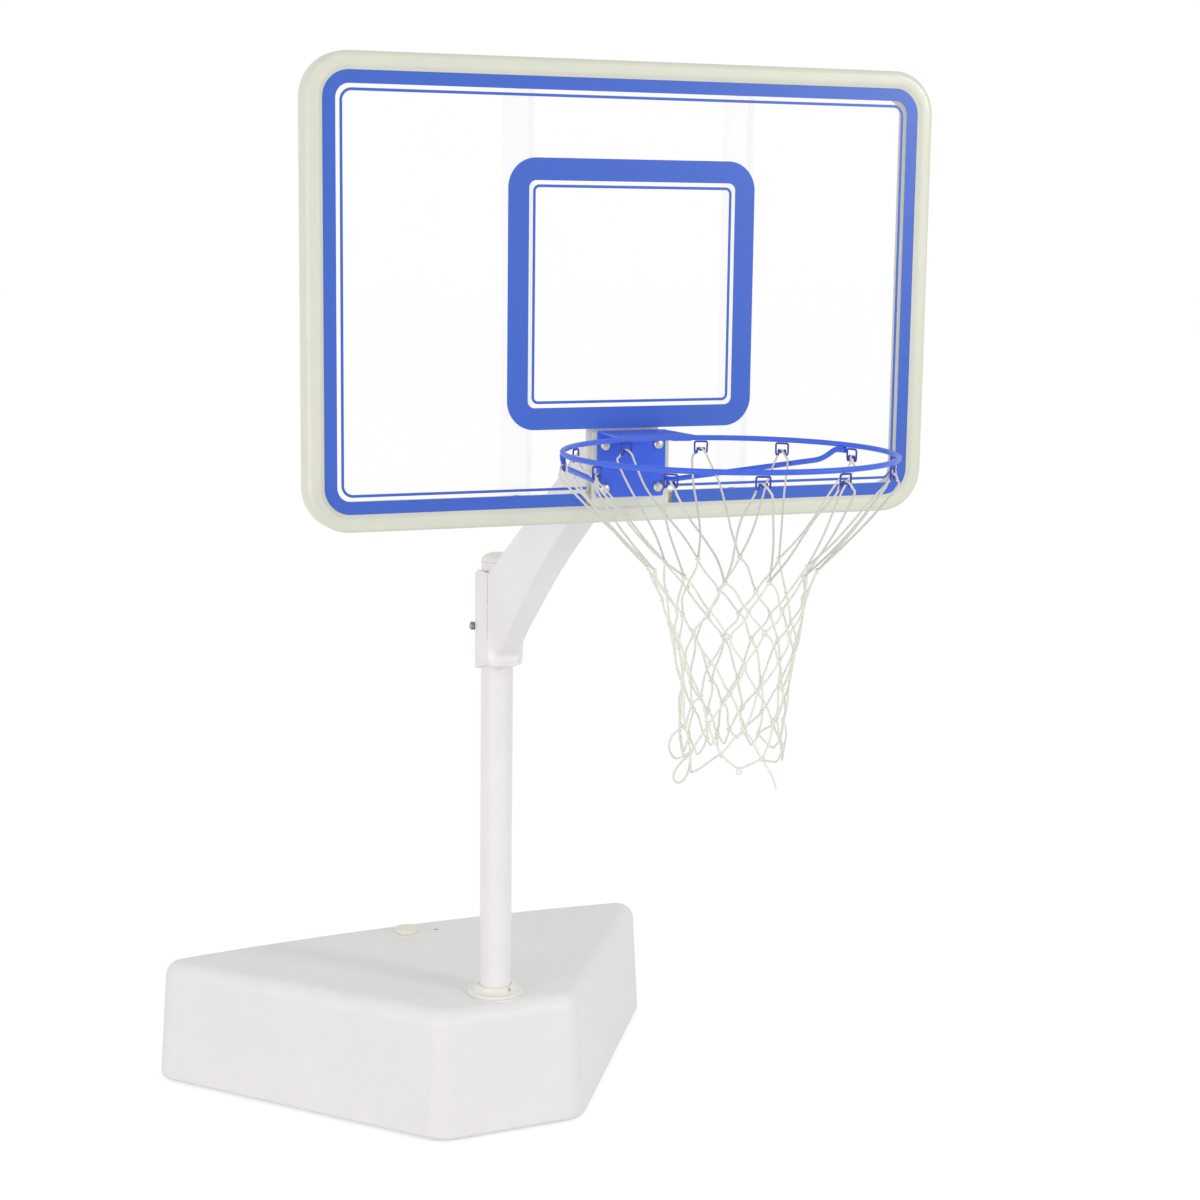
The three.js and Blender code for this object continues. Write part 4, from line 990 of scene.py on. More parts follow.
class HOOP_OT_bend_sleeve(bpy.types.Operator):
    """Bend the sleeve round the pole, with its saddle, clamp bolt and jam nut"""

    bl_idname = "hoop.bend_sleeve"
    bl_label = "Pole sleeve"

    def execute(self, context):
        edge = context.scene.hoop_sizes.plate_edge / MM
        bm = draw_sleeve(edge)
        set_piece("bent_sleeve", bm, "hoop", "white_paint", ["pole_sleeve"], weighted=True)
        bm = bmesh.new()
        draw_box(bm, (-29.2, -32.2, SLEEVE_FORE_LOW), (29.2, -29.2, SLEEVE_HIGH))
        soften(bm, edge, 2)
        set_piece("sleeve_bearing_plate", bm, "hoop", "white_paint", ["sleeve_saddle"], weighted=True)
        bm = bmesh.new()
        nut = hex_head(bm, CLAMP_ACROSS, hex_profile(CLAMP_ACROSS, CLAMP_OUT + 0.3, CLAMP_OUT + 3.3, 4.3))
        lay_along(bm, nut, CLAMP_ANGLE, CLAMP_HEIGHT)
        set_piece("clamp_lock_nut", bm, "hoop", "dark_steel", ["clamp_jam_nut"])
        bm = bmesh.new()
        low = CLAMP_OUT + 3.6
        shank = [(0, 29.1), (3.4, 29.1), (CLAMP_THREAD, 29.9), (CLAMP_THREAD, low + 0.3), (0, low + 0.3)]
        bolt = turn_profile(bm, shank, 24)
        bolt += hex_head(bm, CLAMP_ACROSS, hex_profile(CLAMP_ACROSS, low, low + 5.3))
        lay_along(bm, bolt, CLAMP_ANGLE, CLAMP_HEIGHT)
        set_piece("clamp_hex_bolt", bm, "hoop", "dark_steel", ["clamp_bolt"])
        return {"FINISHED"}


# The arm's face: its share of the reach, of the drop, and of the half width at the top
ARM_FACE = [
    (0, 0, 1), (0.168, 0.145, 0.97), (0.344, 0.298, 0.926), (0.57, 0.506, 0.852), (0.796, 0.75, 0.778),
    (0.875, 0.84, 0.741), (0.93, 0.912, 0.704), (0.977, 0.962, 0.667), (0.962, 1, 0.685),
]
# The arm's rear edge on its right side, from the head over the corner to the foot
ARM_HEAD = Vector((31, 34.6, -186))
ARM_CORNER = Vector((33, 543.9, -505))
ARM_FOOT = Vector((33, 543.9, -668))
ARM_FACE_TOP = -262
ARM_FACE_HALF = 27
ARM_ROUND = 8
ARM_WALL = 3
# Steps along the arm, down each leg of its section, round each bend and across its face
ARM_SPANS = 48
LEG_SPANS = 4
BEND_SPANS = 6
FACE_SPANS = 4
# The head plate: half width, lower and upper edge, thickness and back face
HEAD_HALF = 60
HEAD_LOW = -318
HEAD_HIGH = -190
HEAD_THICK = 4
HEAD_BACK = 34.3


def arm_station(face_run, share):
    """The arm's outer line across one station, from the right rear edge over the face to the left."""
    place = share * (len(face_run) - 1)
    step = min(int(place), len(face_run) - 2)
    face = face_run[step].lerp(face_run[step + 1], place - step)
    if share < 0.5:
        rear = ARM_HEAD.lerp(ARM_CORNER, 2 * share)
    else:
        rear = ARM_CORNER.lerp(ARM_FOOT, 2 * share - 1)
    run = Vector((0, rear.y - face.y, rear.z - face.z))
    depth = run.length
    run.normalize()
    lean = (rear.x - face.x) / depth
    line = []
    for k in range(LEG_SPANS + 1):
        s = depth + (ARM_ROUND - depth) * k / LEG_SPANS
        line.append((face.x + lean * s, s))
    tip = Vector((face.x, 0))
    start = Vector((face.x + lean * ARM_ROUND, ARM_ROUND))
    end = Vector((face.x - ARM_ROUND, 0))
    line += [tuple(bend_point(start, tip, end, k / BEND_SPANS)) for k in range(1, BEND_SPANS + 1)]
    for k in range(1, FACE_SPANS // 2 + 1):
        line.append((end.x * (1 - 2 * k / FACE_SPANS), 0))
    line += [(-x, s) for x, s in reversed(line[:-1])]
    return [Vector((x, face.y + run.y * s, face.z + run.z * s)) for x, s in line]


class HOOP_OT_press_arm(bpy.types.Operator):
    """Press the tapered arm and weld its head plate"""

    bl_idname = "hoop.press_arm"
    bl_label = "Neck arm"

    def execute(self, context):
        edge = context.scene.hoop_sizes.plate_edge / MM
        reach = ARM_CORNER.y - ARM_HEAD.y
        drop = ARM_FOOT.z - ARM_FACE_TOP
        face_points = [
            (wide * ARM_FACE_HALF, ARM_HEAD.y + out * reach, ARM_FACE_TOP + down * drop)
            for out, down, wide in ARM_FACE
        ]
        face_run = smooth_run(face_points, 12)
        across = 2 * (LEG_SPANS + BEND_SPANS) + FACE_SPANS
        bm = bmesh.new()
        bmesh.ops.create_grid(bm, x_segments=ARM_SPANS, y_segments=across, size=1)
        stations = [arm_station(face_run, i / ARM_SPANS) for i in range(ARM_SPANS + 1)]
        for vert in bm.verts:
            station = stations[round((vert.co.x + 1) / 2 * ARM_SPANS)]
            vert.co = station[round((vert.co.y + 1) / 2 * across)]
        bmesh.ops.recalc_face_normals(bm, faces=bm.faces)
        middles = {face: face.calc_center_median() for face in bm.faces}
        front = min(bm.faces, key=lambda face: middles[face].z + abs(middles[face].x))
        give_wall(bm, front, -1, ARM_WALL)
        soften(bm, edge, 2, 60)
        at_board(bm)
        set_piece("pressed_neck_arm", bm, "hoop", "white_paint", ["neck_arm"], sharp=40, weighted=True)
        bm = bmesh.new()
        draw_plate(bm, rectangle(HEAD_HALF, HEAD_LOW, HEAD_HIGH, 4, 4), HEAD_THICK, 4)
        stand_up(bm)
        shift(bm, (0, HEAD_BACK, 0))
        soften(bm, edge, 2, 50)
        at_board(bm)
        set_piece("head_plate", bm, "hoop", "white_paint", ["neck_head_plate"], weighted=True)
        return {"FINISHED"}


# Backboard

# The board's half width and half height, and the radius of its corners
FRAME_HALF = Vector((509, 345))
FRAME_CORNER = 67.1
# The frame's section, from its outer back edge over the front and back inside its channel, as
# (inset, height) pairs: its rounded outside, the lip over the panel's edge, the ledge behind the
# panel with its rear wall, and the inside
FRAME_OUTSIDE = [(0, -30), (0, -18), *arc(9, 9, 180, 90, (9, -4), 7)]
FRAME_LIP = [
    (16, 5.0), (19.6, 4.85), (21, 4.3), (26.4, 1.0), (26.8, 0.4), (24, 0.35), (24, -4.3), (24.6, -4.8),
]
FRAME_LEDGE = [
    (42, -4.8), (42.8, -5.4), (43, -6.2), (43, -29.4), (42.4, -30), (39.6, -30), (39, -29.4), (39, -8.8),
]
FRAME_INSIDE = [(20, -8.8), (20, 1), *arc(5, 5, 90, 180, (9, -4), 4), (4, -29.4), (3.4, -30)]
FRAME_SECTION = FRAME_OUTSIDE + FRAME_LIP + FRAME_LEDGE + FRAME_INSIDE
# Steps along each straight side of the frame and round each corner
SIDE_STEPS = 6
CORNER_STEPS = 12
# The mount block: half width, lower and upper edge, depth, the height of its back, and the
# share of its width that its back keeps
BLOCK_HALF = 64
BLOCK_LOW = -341
BLOCK_HIGH = -206.5
BLOCK_DEPTH = 32
BLOCK_BACK = -30
BLOCK_TAPER = 0.81


def sweep_round_board(bm, section):
    """Sweeps a closed section, as (inset, height) pairs, round the board's rounded outline."""
    across, up = FRAME_HALF.x - FRAME_CORNER, FRAME_HALF.y - FRAME_CORNER
    verts = [bm.verts.new((FRAME_HALF.x - inset, -up, height)) for inset, height in section]
    edges = [bm.edges.new(pair) for pair in zip(verts, verts[1:] + verts[:1])]
    # Each straight side's way, and the middle of the corner that follows it
    sides = [
        ((0, 2 * up, 0), (across, up, 0)), ((-2 * across, 0, 0), (-across, up, 0)),
        ((0, -2 * up, 0), (-across, -up, 0)), ((2 * across, 0, 0), (across, -up, 0)),
    ]
    for run, middle in sides:
        for _ in range(SIDE_STEPS):
            pulled = bmesh.ops.extrude_edge_only(bm, edges=edges)
            verts = verts_of(pulled)
            edges = [item for item in edges_of(pulled) if item.is_boundary]
            shift(bm, Vector(run) / SIDE_STEPS, verts)
        spun = bmesh.ops.spin(
            bm, geom=verts + edges, cent=middle, axis=UPRIGHT, angle=QUARTER, steps=CORNER_STEPS,
        )
        verts = verts_of(spun, "geom_last")
        edges = edges_of(spun, "geom_last")
    bmesh.ops.remove_doubles(bm, verts=bm.verts, dist=0.01)


class HOOP_OT_mould_frame(bpy.types.Operator):
    """Mould the backboard's frame and its mount block"""

    bl_idname = "hoop.mould_frame"
    bl_label = "Backboard frame"

    def execute(self, context):
        edge = context.scene.hoop_sizes.edge / MM
        bm = bmesh.new()
        sweep_round_board(bm, FRAME_SECTION)
        bmesh.ops.recalc_face_normals(bm, faces=bm.faces)
        block = bmesh.new()
        draw_plate(block, rectangle(BLOCK_HALF, BLOCK_LOW, BLOCK_HIGH, 5, 0), BLOCK_DEPTH, 5)
        for vert in block.verts:
            if vert.co.z < BLOCK_DEPTH / 2:
                vert.co.x *= BLOCK_TAPER
        shift(block, (0, 0, BLOCK_BACK))
        soften(block, edge, 3, 50)
        join(bm, block)
        stand_up(bm)
        at_board(bm)
        set_piece("moulded_board_frame", bm, "hoop", "frame_plastic", ["backboard_frame"], weighted=True)
        return {"FINISHED"}


# The clear panel, with the notch for the mount block in its lower edge
PANEL_HALF = (484.4, 320.4)
PANEL_ROUND = 42.5
PANEL_THICK = 4.5
PANEL_EDGE = 0.35
NOTCH_HALF = 69
NOTCH_TOP = -204.5
NOTCH_ROUND = 6
# The printed bands: half sizes of the outer one and of the square, and the gap to the fine lines
OUTER_PRINT = (481.9, 318.05)
SQUARE_PRINT = 201
PRINT_GAP = 6
# Half the width that the outer prints leave open round the notch
PRINT_OPEN = NOTCH_HALF + 3
# How far the ink's underside stays off the panel's face
INK_SEAT = 0.02


def panel_corners():
    """The panel's outline as (x, y, radius), from its upper right corner round to the left."""
    x, y = PANEL_HALF
    upper = [(x, y, PANEL_ROUND), (-x, y, PANEL_ROUND), (-x, -y, PANEL_ROUND), (-NOTCH_HALF, -y, NOTCH_ROUND)]
    notch = [(-NOTCH_HALF, NOTCH_TOP, NOTCH_ROUND), (NOTCH_HALF, NOTCH_TOP, NOTCH_ROUND)]
    return upper + notch + [(NOTCH_HALF, -y, NOTCH_ROUND), (x, -y, PANEL_ROUND)]


def printed_band(bm, half_x, half_z, corner, width, cut):
    """A printed rounded rectangle of a width; cut is the half width left open at the bottom."""
    face = draw_face(bm, rectangle(half_x, -half_z, half_z, corner, corner), 16)
    bmesh.ops.inset_region(bm, faces=[face], thickness=width, use_even_offset=True, use_boundary=True)
    bmesh.ops.delete(bm, geom=[face], context="FACES")
    if not cut:
        return
    for side in (-1, 1):
        slice_off(bm, (side * cut, 0, 0), (1, 0, 0))
    inside = [
        face for face in bm.faces
        if abs(face.calc_center_median().x) < cut and face.calc_center_median().y < 0
    ]
    bmesh.ops.delete(bm, geom=inside, context="FACES")


class HOOP_OT_cut_panel(bpy.types.Operator):
    """Cut the clear panel and print its bands and square"""

    bl_idname = "hoop.cut_panel"
    bl_label = "Clear panel"

    def execute(self, context):
        sizes = context.scene.hoop_sizes
        bm = bmesh.new()
        draw_plate(bm, panel_corners(), PANEL_THICK, 10)
        shift(bm, (0, 0, -PANEL_THICK))
        stand_up(bm)
        soften(bm, PANEL_EDGE, 2, 50)
        at_board(bm)
        set_piece("clear_acrylic_panel", bm, "hoop", "clear_sheet", ["clear_panel"], weighted=True)
        outer, square = sizes.outer_band / MM, sizes.square_band / MM
        fine = sizes.fine_line / MM
        inner = SQUARE_PRINT - square - PRINT_GAP
        x, z = (half - outer - PRINT_GAP for half in OUTER_PRINT)
        # Each print's half width, half height, corner radius, width and opening
        bands = [
            ("printed_outer_band", *OUTER_PRINT, 40, outer, PRINT_OPEN),
            ("printed_outer_line", x, z, 18, fine, PRINT_OPEN),
            ("printed_square_band", SQUARE_PRINT, SQUARE_PRINT, 44, square, 0),
            ("printed_square_line", inner, inner, 10, fine, 0),
        ]
        for name, half_x, half_z, corner, width, cut in bands:
            bm = bmesh.new()
            printed_band(bm, half_x, half_z, corner, width, cut)
            raise_faces(bm, bm.faces[:], sizes.ink / MM)
            shift(bm, (0, 0, INK_SEAT))
            stand_up(bm)
            at_board(bm)
            set_piece(name, bm, "hoop", "clear_sheet", look="printed_blue")
        return {"FINISHED"}


# The struts: each one's distance from the middle line, half height and half width, front and back
STRUT_MIDDLE = 179.5
STRUT_HALF = 301.7
STRUT_HALF_WIDTH = 21.5
STRUT_FRONT = 4.8
STRUT_BACK = 26.8
STRUT_WALL = 2


class HOOP_OT_fit_struts(bpy.types.Operator):
    """Mould the two struts behind the panel and drive their end screws"""

    bl_idname = "hoop.fit_struts"
    bl_label = "Struts"

    def execute(self, context):
        edge = context.scene.hoop_sizes.plate_edge / MM
        for side, name in ((-1, "left"), (1, "right")):
            bm = bmesh.new()
            middle = side * STRUT_MIDDLE
            low = (middle - STRUT_HALF_WIDTH, STRUT_FRONT, -STRUT_HALF)
            high = (middle + STRUT_HALF_WIDTH, STRUT_BACK, STRUT_HALF)
            draw_box(bm, low, high)
            back = max(bm.faces, key=lambda face: face.calc_center_median().y)
            bmesh.ops.delete(bm, geom=[back], context="FACES")
            bmesh.ops.recalc_face_normals(bm, faces=bm.faces)
            front = min(bm.faces, key=lambda face: face.calc_center_median().y)
            give_wall(bm, front, -1, STRUT_WALL)
            soften(bm, edge, 2, 60)
            at_board(bm)
            set_piece(f"channel_strut_{name}", bm, "hoop", "strut_plastic", [f"strut_{name}"], weighted=True)
        places = [(-1, 1), (1, 1), (-1, -1), (1, -1)]
        for number, (side, end) in enumerate(places, 1):
            bm = bmesh.new()
            head = [(0, 300.9), (1.2, 300.9), (1.4, 299.9), (4.1, 299.9), (4.4, 300.2)]
            shank = [(2, 302.6)]
            for turn in range(5):
                low = 303 + turn * 1.35
                shank += [(1.6, low), (2, low + 0.5), (1.6, low + 1)]
            turn_profile(bm, head + shank + [(0, 310.2)], 24)
            if end < 0:
                turn_about(bm, Matrix.Rotation(math.pi, 3, "X"))
            shift(bm, (side * STRUT_MIDDLE, (STRUT_FRONT + STRUT_BACK) / 2, 0))
            at_board(bm)
            name, node = f"strut_end_screw_{number}", f"strut_screw_{number}"
            set_piece(name, bm, "hoop", "steel", [node], look="collar_plastic")
        return {"FINISHED"}


# Rim

# The ring's middle from the board's, its radius, and the radii of its rod and of the braces'
RING_CENTRE = Vector((0, -349.9, -205.8))
RING_RADIUS = 232.6
ROD_RADIUS = 3.9
BRACE_RADIUS = 4
BRACE_FOOT = -280
# The rim plate: half width, lower edge, back and front, and the round of its upper bend
PLATE_HALF = 56
PLATE_LOW = -305.8
PLATE_BACK = -2.3
PLATE_FRONT = -6.3
PLATE_BEND = 3.4
# The plate's top flange: its upper face, thickness, half widths at the ring and the plate, and
# the radius of its front edge about the ring's axis
FLANGE_TOP = -203.8
FLANGE_THICK = 4
FLANGE_HALF = 63
FLANGE_ROOT_HALF = 53
FLANGE_REACH = 236.5
# The ripple of a weld bead, as a share of its radius, and how closely the ripples lie
BEAD_RIPPLE = 0.16
BEAD_PITCH = 2.4


def round_ring(bm, degrees):
    """Moves what is drawn across X at the ring's place to its angle round the ring."""
    shift(bm, (0, RING_RADIUS, 0))
    turn_about(bm, Matrix.Rotation(math.radians(degrees) - QUARTER, 3, "Z"))
    shift(bm, (0, RING_CENTRE.y, 0))


def weld_bead(bm, points, radius):
    """Lays a rippled weld bead through points, with its ends run out."""
    run = smooth_run(points, 10)
    verts_before = set(bm.verts)
    add_tube(bm, run, radius, 8)
    ends = Vector(run[0]), Vector(run[-1])
    for vert in bm.verts:
        if vert in verts_before:
            continue
        near = min(run, key=lambda point: (point - vert.co).length_squared)
        travel = (near - ends[0]).length
        swell = 1 + BEAD_RIPPLE * math.sin(travel * BEAD_PITCH)
        for end in ends:
            swell *= min(1, 0.35 + (near - end).length / 4)
        vert.co = near + (vert.co - near) * swell


def beside_ring(side, degrees, out, above):
    """A place beside the ring's rod, by its angle from the side, its way out and its height."""
    angle = math.radians(degrees)
    reach = RING_RADIUS + out
    across, forth = side * reach * math.cos(angle), reach * math.sin(angle)
    return Vector((across, RING_CENTRE.y + forth, RING_CENTRE.z + above))


def at_bend(edge):
    """Whether an edge is the one where the rim plate turns into its flange."""
    return all(v.co.z > FLANGE_TOP - 0.1 and v.co.y > PLATE_BACK - 0.1 for v in edge.verts)


def draw_flange(edge):
    """The rim plate's top flange, whose front edge follows the ring."""
    flange = bmesh.new()
    swing = math.asin(FLANGE_HALF / FLANGE_REACH)
    start = flange.verts.new((FLANGE_HALF, RING_CENTRE.y + FLANGE_REACH * math.cos(swing), 0))
    front = bmesh.ops.spin(
        flange, geom=[start], cent=(0, RING_CENTRE.y, 0), axis=UPRIGHT, angle=2 * swing, steps=16,
    )
    last = verts_of(front, "geom_last")[0]
    left = flange.verts.new((-FLANGE_ROOT_HALF, PLATE_BACK - 1, 0))
    right = flange.verts.new((FLANGE_ROOT_HALF, PLATE_BACK - 1, 0))
    for pair in ((last, left), (left, right), (right, start)):
        flange.edges.new(pair)
    sheet = bmesh.ops.contextual_create(flange, geom=flange.edges[:])["faces"]
    raise_faces(flange, sheet, FLANGE_THICK)
    shift(flange, (0, 0, FLANGE_TOP - FLANGE_THICK - 0.05))
    soften(flange, edge, 2, 50)
    return flange


def draw_rim_plate(edge):
    """The rim plate with its flange, the welds under its bend and those along the ring."""
    bm = bmesh.new()
    draw_plate(bm, rectangle(PLATE_HALF, PLATE_LOW, FLANGE_TOP, 0, 6), PLATE_BACK - PLATE_FRONT, 6)
    stand_up(bm)
    shift(bm, (0, PLATE_BACK, 0))
    soften(bm, PLATE_BEND, 4, 50, at_bend)
    soften(bm, edge, 2, 50)
    join(bm, draw_flange(edge))
    for side in (-1, 1):
        bead = [(side * 54, -7, -208.2), (side * 40, -7.4, -208.4), (side * 22, -7, -208.2)]
        weld_bead(bm, bead, 1.8)
        bead = [beside_ring(side, degrees, 3.4, -3.6) for degrees in (78, 82, 86)]
        weld_bead(bm, bead, 1.5)
    return bm


def draw_ring():
    """The ring: a round rod rolled into a full circle."""
    bm = bmesh.new()
    bmesh.ops.create_circle(bm, segments=20, radius=ROD_RADIUS)
    stand_up(bm)
    shift(bm, (RING_RADIUS, 0, 0))
    bmesh.ops.spin(
        bm, geom=bm.verts[:] + bm.edges[:], cent=(0, 0, 0), axis=UPRIGHT,
        angle=2 * math.pi, steps=144, use_merge=True,
    )
    shift(bm, RING_CENTRE)
    return bm


def draw_brace(side):
    """A brace: a rod from beside the rim plate to the ring's underside, with its two welds."""
    bm = bmesh.new()
    beside_plate = side * (PLATE_HALF + BRACE_RADIUS + SEATING)
    corners = [(beside_plate, PLATE_BACK, BRACE_FOOT), (beside_plate, PLATE_FRONT - 12, BRACE_FOOT)]
    corners.append((side * 203, -238, -230.5))
    under_ring = -ROD_RADIUS - BRACE_RADIUS - SEATING
    corners += [beside_ring(side, degrees, 0, under_ring) for degrees in (23, 18)]
    add_tube(bm, bent_run(corners, (12, 13, 5), 8), BRACE_RADIUS, 16)
    for out in (-2.6, 2.6):
        bead = [beside_ring(side, degrees, out, -ROD_RADIUS - 0.3) for degrees in (22, 20, 18.4)]
        weld_bead(bm, bead, 1.7)
    return bm


class HOOP_OT_forge_rim(bpy.types.Operator):
    """Bend the rim plate, roll the ring and weld on its two braces"""

    bl_idname = "hoop.forge_rim"
    bl_label = "Rim"

    def execute(self, context):
        bm = draw_rim_plate(context.scene.hoop_sizes.plate_edge / MM)
        at_board(bm)
        set_piece("bent_rim_plate", bm, "hoop", "blue_paint", ["rim_plate"], weighted=True)
        bm = draw_ring()
        at_board(bm)
        set_piece("rolled_ring", bm, "hoop", "blue_paint", ["rim_ring"])
        for side, name in ((-1, "left"), (1, "right")):
            bm = draw_brace(side)
            at_board(bm)
            set_piece(f"brace_rod_{name}", bm, "hoop", "blue_paint", [f"rim_brace_{name}"], sharp=50)
        return {"FINISHED"}


# The net hooks: the wire's top and bottom, the dip that a cord hangs over, and its radius
HOOK_TOP = -211.4
HOOK_BOTTOM = -228.4
HOOK_DIP = HOOK_BOTTOM + 4
HOOK_WIRE = 1.4
HOOKS = 12
# Where the first hook stands round the ring, and the step to the next, in degrees
HOOK_START = 15
HOOK_STEP = 360 / HOOKS


def hook_run():
    """The closed wire of one net hook: straight legs, turned-up feet and a dipped middle."""
    leg = [(6.2, HOOK_TOP), (8.5, HOOK_TOP - 0.5), (9.5, HOOK_TOP - 2.8)]
    foot = [
        (9.4, 8), (9.2, 3), (8.3, 0.6), (6.8, 0.1), (5.6, 1.6), (5.4, 5), (5.0, 7.4), (3.8, 7.0), (1.8, 4.9),
    ]
    half = leg + [(x, HOOK_BOTTOM + rise) for x, rise in foot]
    right = [(x, 0, z) for x, z in half] + [(0, 0, HOOK_DIP)]
    left = [(-x, 0, z) for x, z in reversed(half)]
    return right + left


class HOOP_OT_bend_hooks(bpy.types.Operator):
    """Bend the twelve net hooks under the ring"""

    bl_idname = "hoop.bend_hooks"
    bl_label = "Net hooks"

    def execute(self, context):
        run = smooth_run(hook_run(), 3, cyclic=True)
        for number in range(1, HOOKS + 1):
            bm = bmesh.new()
            add_tube(bm, run, HOOK_WIRE, 10, cyclic=True)
            round_ring(bm, HOOK_START + HOOK_STEP * (number - 1))
            at_board(bm)
            name, node = f"wire_net_hook_{number}", f"net_hook_{number}"
            set_piece(name, bm, "hoop", "blue_paint", [node], look="hook_paint", sharp=60)
        return {"FINISHED"}


# The rim bolts: their places on the plate, and the far end, radius and head's radius of each
BOLT_PLACES = [(-44, -226), (44, -226), (-44, -292), (44, -292)]
BOLT_END = -46
BOLT_RADIUS = 4
BOLT_HEAD = 8
NUT_ACROSS = 13
WASHER_PROFILE = [(4.5, -36), (8.2, -36.2), (8.5, -35.9), (8.5, -34.9), (8.2, -34.6), (4.5, -34.7)]


class HOOP_OT_fit_bolts(bpy.types.Operator):
    """Turn the four rim bolts with their washers and nuts"""

    bl_idname = "hoop.fit_bolts"
    bl_label = "Rim bolts"

    def execute(self, context):
        seat = -PLATE_FRONT + SEATING
        shank = [(0, BOLT_END), (BOLT_RADIUS - 0.7, BOLT_END), (BOLT_RADIUS, BOLT_END + 0.8)]
        for turn in range(10):
            low = BOLT_END + 1.4 + turn * 1.2
            shank += [(BOLT_RADIUS - 0.4, low + 0.3), (BOLT_RADIUS, low + 0.9)]
        head = [(BOLT_RADIUS, seat), (BOLT_HEAD - 0.3, seat), (BOLT_HEAD, seat + 0.4)]
        head += dome(BOLT_HEAD, seat + 1, 4, 8)
        for number, (x, z) in enumerate(BOLT_PLACES, 1):
            bolt, washer, nut = bmesh.new(), bmesh.new(), bmesh.new()
            turn_profile(bolt, shank + head, 32)
            turn_profile(washer, WASHER_PROFILE, 32)
            hex_head(nut, NUT_ACROSS, hex_profile(NUT_ACROSS, -43, -36.5, 4.3))
            pieces = [
                (bolt, "dome_rim_bolt", "rim_bolt"), (washer, "flat_rim_washer", "rim_washer"),
                (nut, "hex_rim_nut", "rim_nut"),
            ]
            for bm, name, node in pieces:
                stand_up(bm)
                shift(bm, (x, 0, z))
                at_board(bm)
                set_piece(f"{name}_{number}", bm, "hoop", "steel", [f"{node}_{number}"])
        return {"FINISHED"}


# Net

NET_COLUMNS = HOOKS
# How far the net falls from the ring to its hem; each row of knots as a share of that, and its
# radius as a share of the ring's
NET_DROP = 412
NET_ROWS = [0.391, 0.5, 0.585, 0.672, 0.796, 0.908, 1]
NET_RADII = [0.51, 0.437, 0.406, 0.376, 0.327, 0.314, 0.325]
CORD_RADIUS = 1.55
CORD_OVER_HOOK = HOOK_DIP + HOOK_WIRE + SEATING + CORD_RADIUS
# How far the hem hangs aside
NET_LEAN = Vector((11, -4.6, 0))
# How far the knots of each row are drawn apart on the net's open side, in degrees
NET_PULL = [0, 0, 2, 5, 4, 18, 34]
OPEN_SIDE = 252
# How loosely the cords hang between knots, and between a hook and the first row
CORD_SLACK = 4.5
HOOK_SLACK = 9
CORD_SIDES = 10
KNOT_SIZE = 1.1
KNOT_POINTS = 24
KNOT_LEAN = 0.6
# The thinner cord of knots and tails, as shares of the cord's radius
KNOT_CORD = 0.8
TAIL_CORD = 0.9
# How far a knot of the first row is off its even place, and how much more each lower row is
SLIP = 3.2
SLIP_STEP = 0.9
# Each stretch of the hem: how far it falls, and where between its knots it is lowest
HEM = [
    (14, 0.5), (19, 0.4), (12, 0.6), (25, 0.5), (22, 0.35), (18, 0.6),
    (28, 0.07), (17, 0.45), (15, 0.7), (24, 0.5), (15, 0.4), (21, 0.55),
]
# The columns of the hem knots at the front, where the slack loops and the loose end hang
HEM_LEFT, HEM_FRONT, HEM_RIGHT = 6, 7, 8
# The columns whose hem knots have a hanging end of cord, and its length
TAILS = {2: 24, 7: 7}
# Across the net as its slack loops hang, and their points: aside and down from a knot
ACROSS = Vector((0.92, -0.386, 0))
UPPER_LOOP = [(-8, 5), (-18, 15), (-22, 27), (-20, 39), (-11, 47)]
LOWER_LOOP = [(-8, 9), (-19, 23), (-23.5, 35), (-19, 43.5), (-11, 42), (-3.5, 30), (-0.5, 13)]
TWIST = [(2.4, 3), (3.3, 6.6), (0.4, 9.4), (-2.8, 7), (-1.8, 3)]
LOOSE_END = [(4, 7), (10, 16), (15.5, 27), (19, 37), (20.5, 44)]


def round_axis(degrees, radius, height):
    """A place round the ring's axis."""
    angle = math.radians(degrees)
    return Vector((radius * math.cos(angle), RING_CENTRE.y + radius * math.sin(angle), height))


def knot_degrees(row, column):
    """The angle of a knot; every other row stands halfway between the hooks."""
    return HOOK_START + HOOK_STEP * (column + (0.5 if row % 2 == 0 else 0))


def net_places(dice):
    """Where the knots hang, each a little off its even place."""
    places = {}
    for row, (fall, reach) in enumerate(zip(NET_ROWS, NET_RADII)):
        for column in range(NET_COLUMNS):
            slip = SLIP + SLIP_STEP * row
            degrees = knot_degrees(row, column) + dice.uniform(-1, 1) * slip * 0.3
            degrees += NET_PULL[row] * math.sin(math.radians(degrees - OPEN_SIDE))
            radius = RING_RADIUS * reach + dice.uniform(-1, 0.6) * slip * 0.7
            height = RING_CENTRE.z - NET_DROP * fall + dice.uniform(-1, 1) * slip
            places[row, column] = round_axis(degrees, radius, height) + NET_LEAN * min(1, 1.5 * fall)
    return places


def away_from_axis(start, end):
    """The level way out from the ring's axis, halfway between two places."""
    middle = (start + end) / 2
    return Vector((middle.x, middle.y - RING_CENTRE.y, 0)).normalized()


def slack_cord(start, end, dice, slack):
    """A cord between two knots, bowed a little outwards and wandering."""
    along = end - start
    outward = away_from_axis(start, end)
    aside = along.cross(outward).normalized()
    bow = dice.uniform(-0.2, 1) * slack
    wander = dice.uniform(-1, 1) * slack
    points = [start]
    for share in (0.25, 0.5, 0.75):
        lift = math.sin(share * math.pi)
        drift = math.sin(share * 2 * math.pi) * 0.45
        points.append(start + along * share + outward * bow * lift + aside * wander * (lift * 0.6 + drift))
    return smooth_run(points + [end], 4)


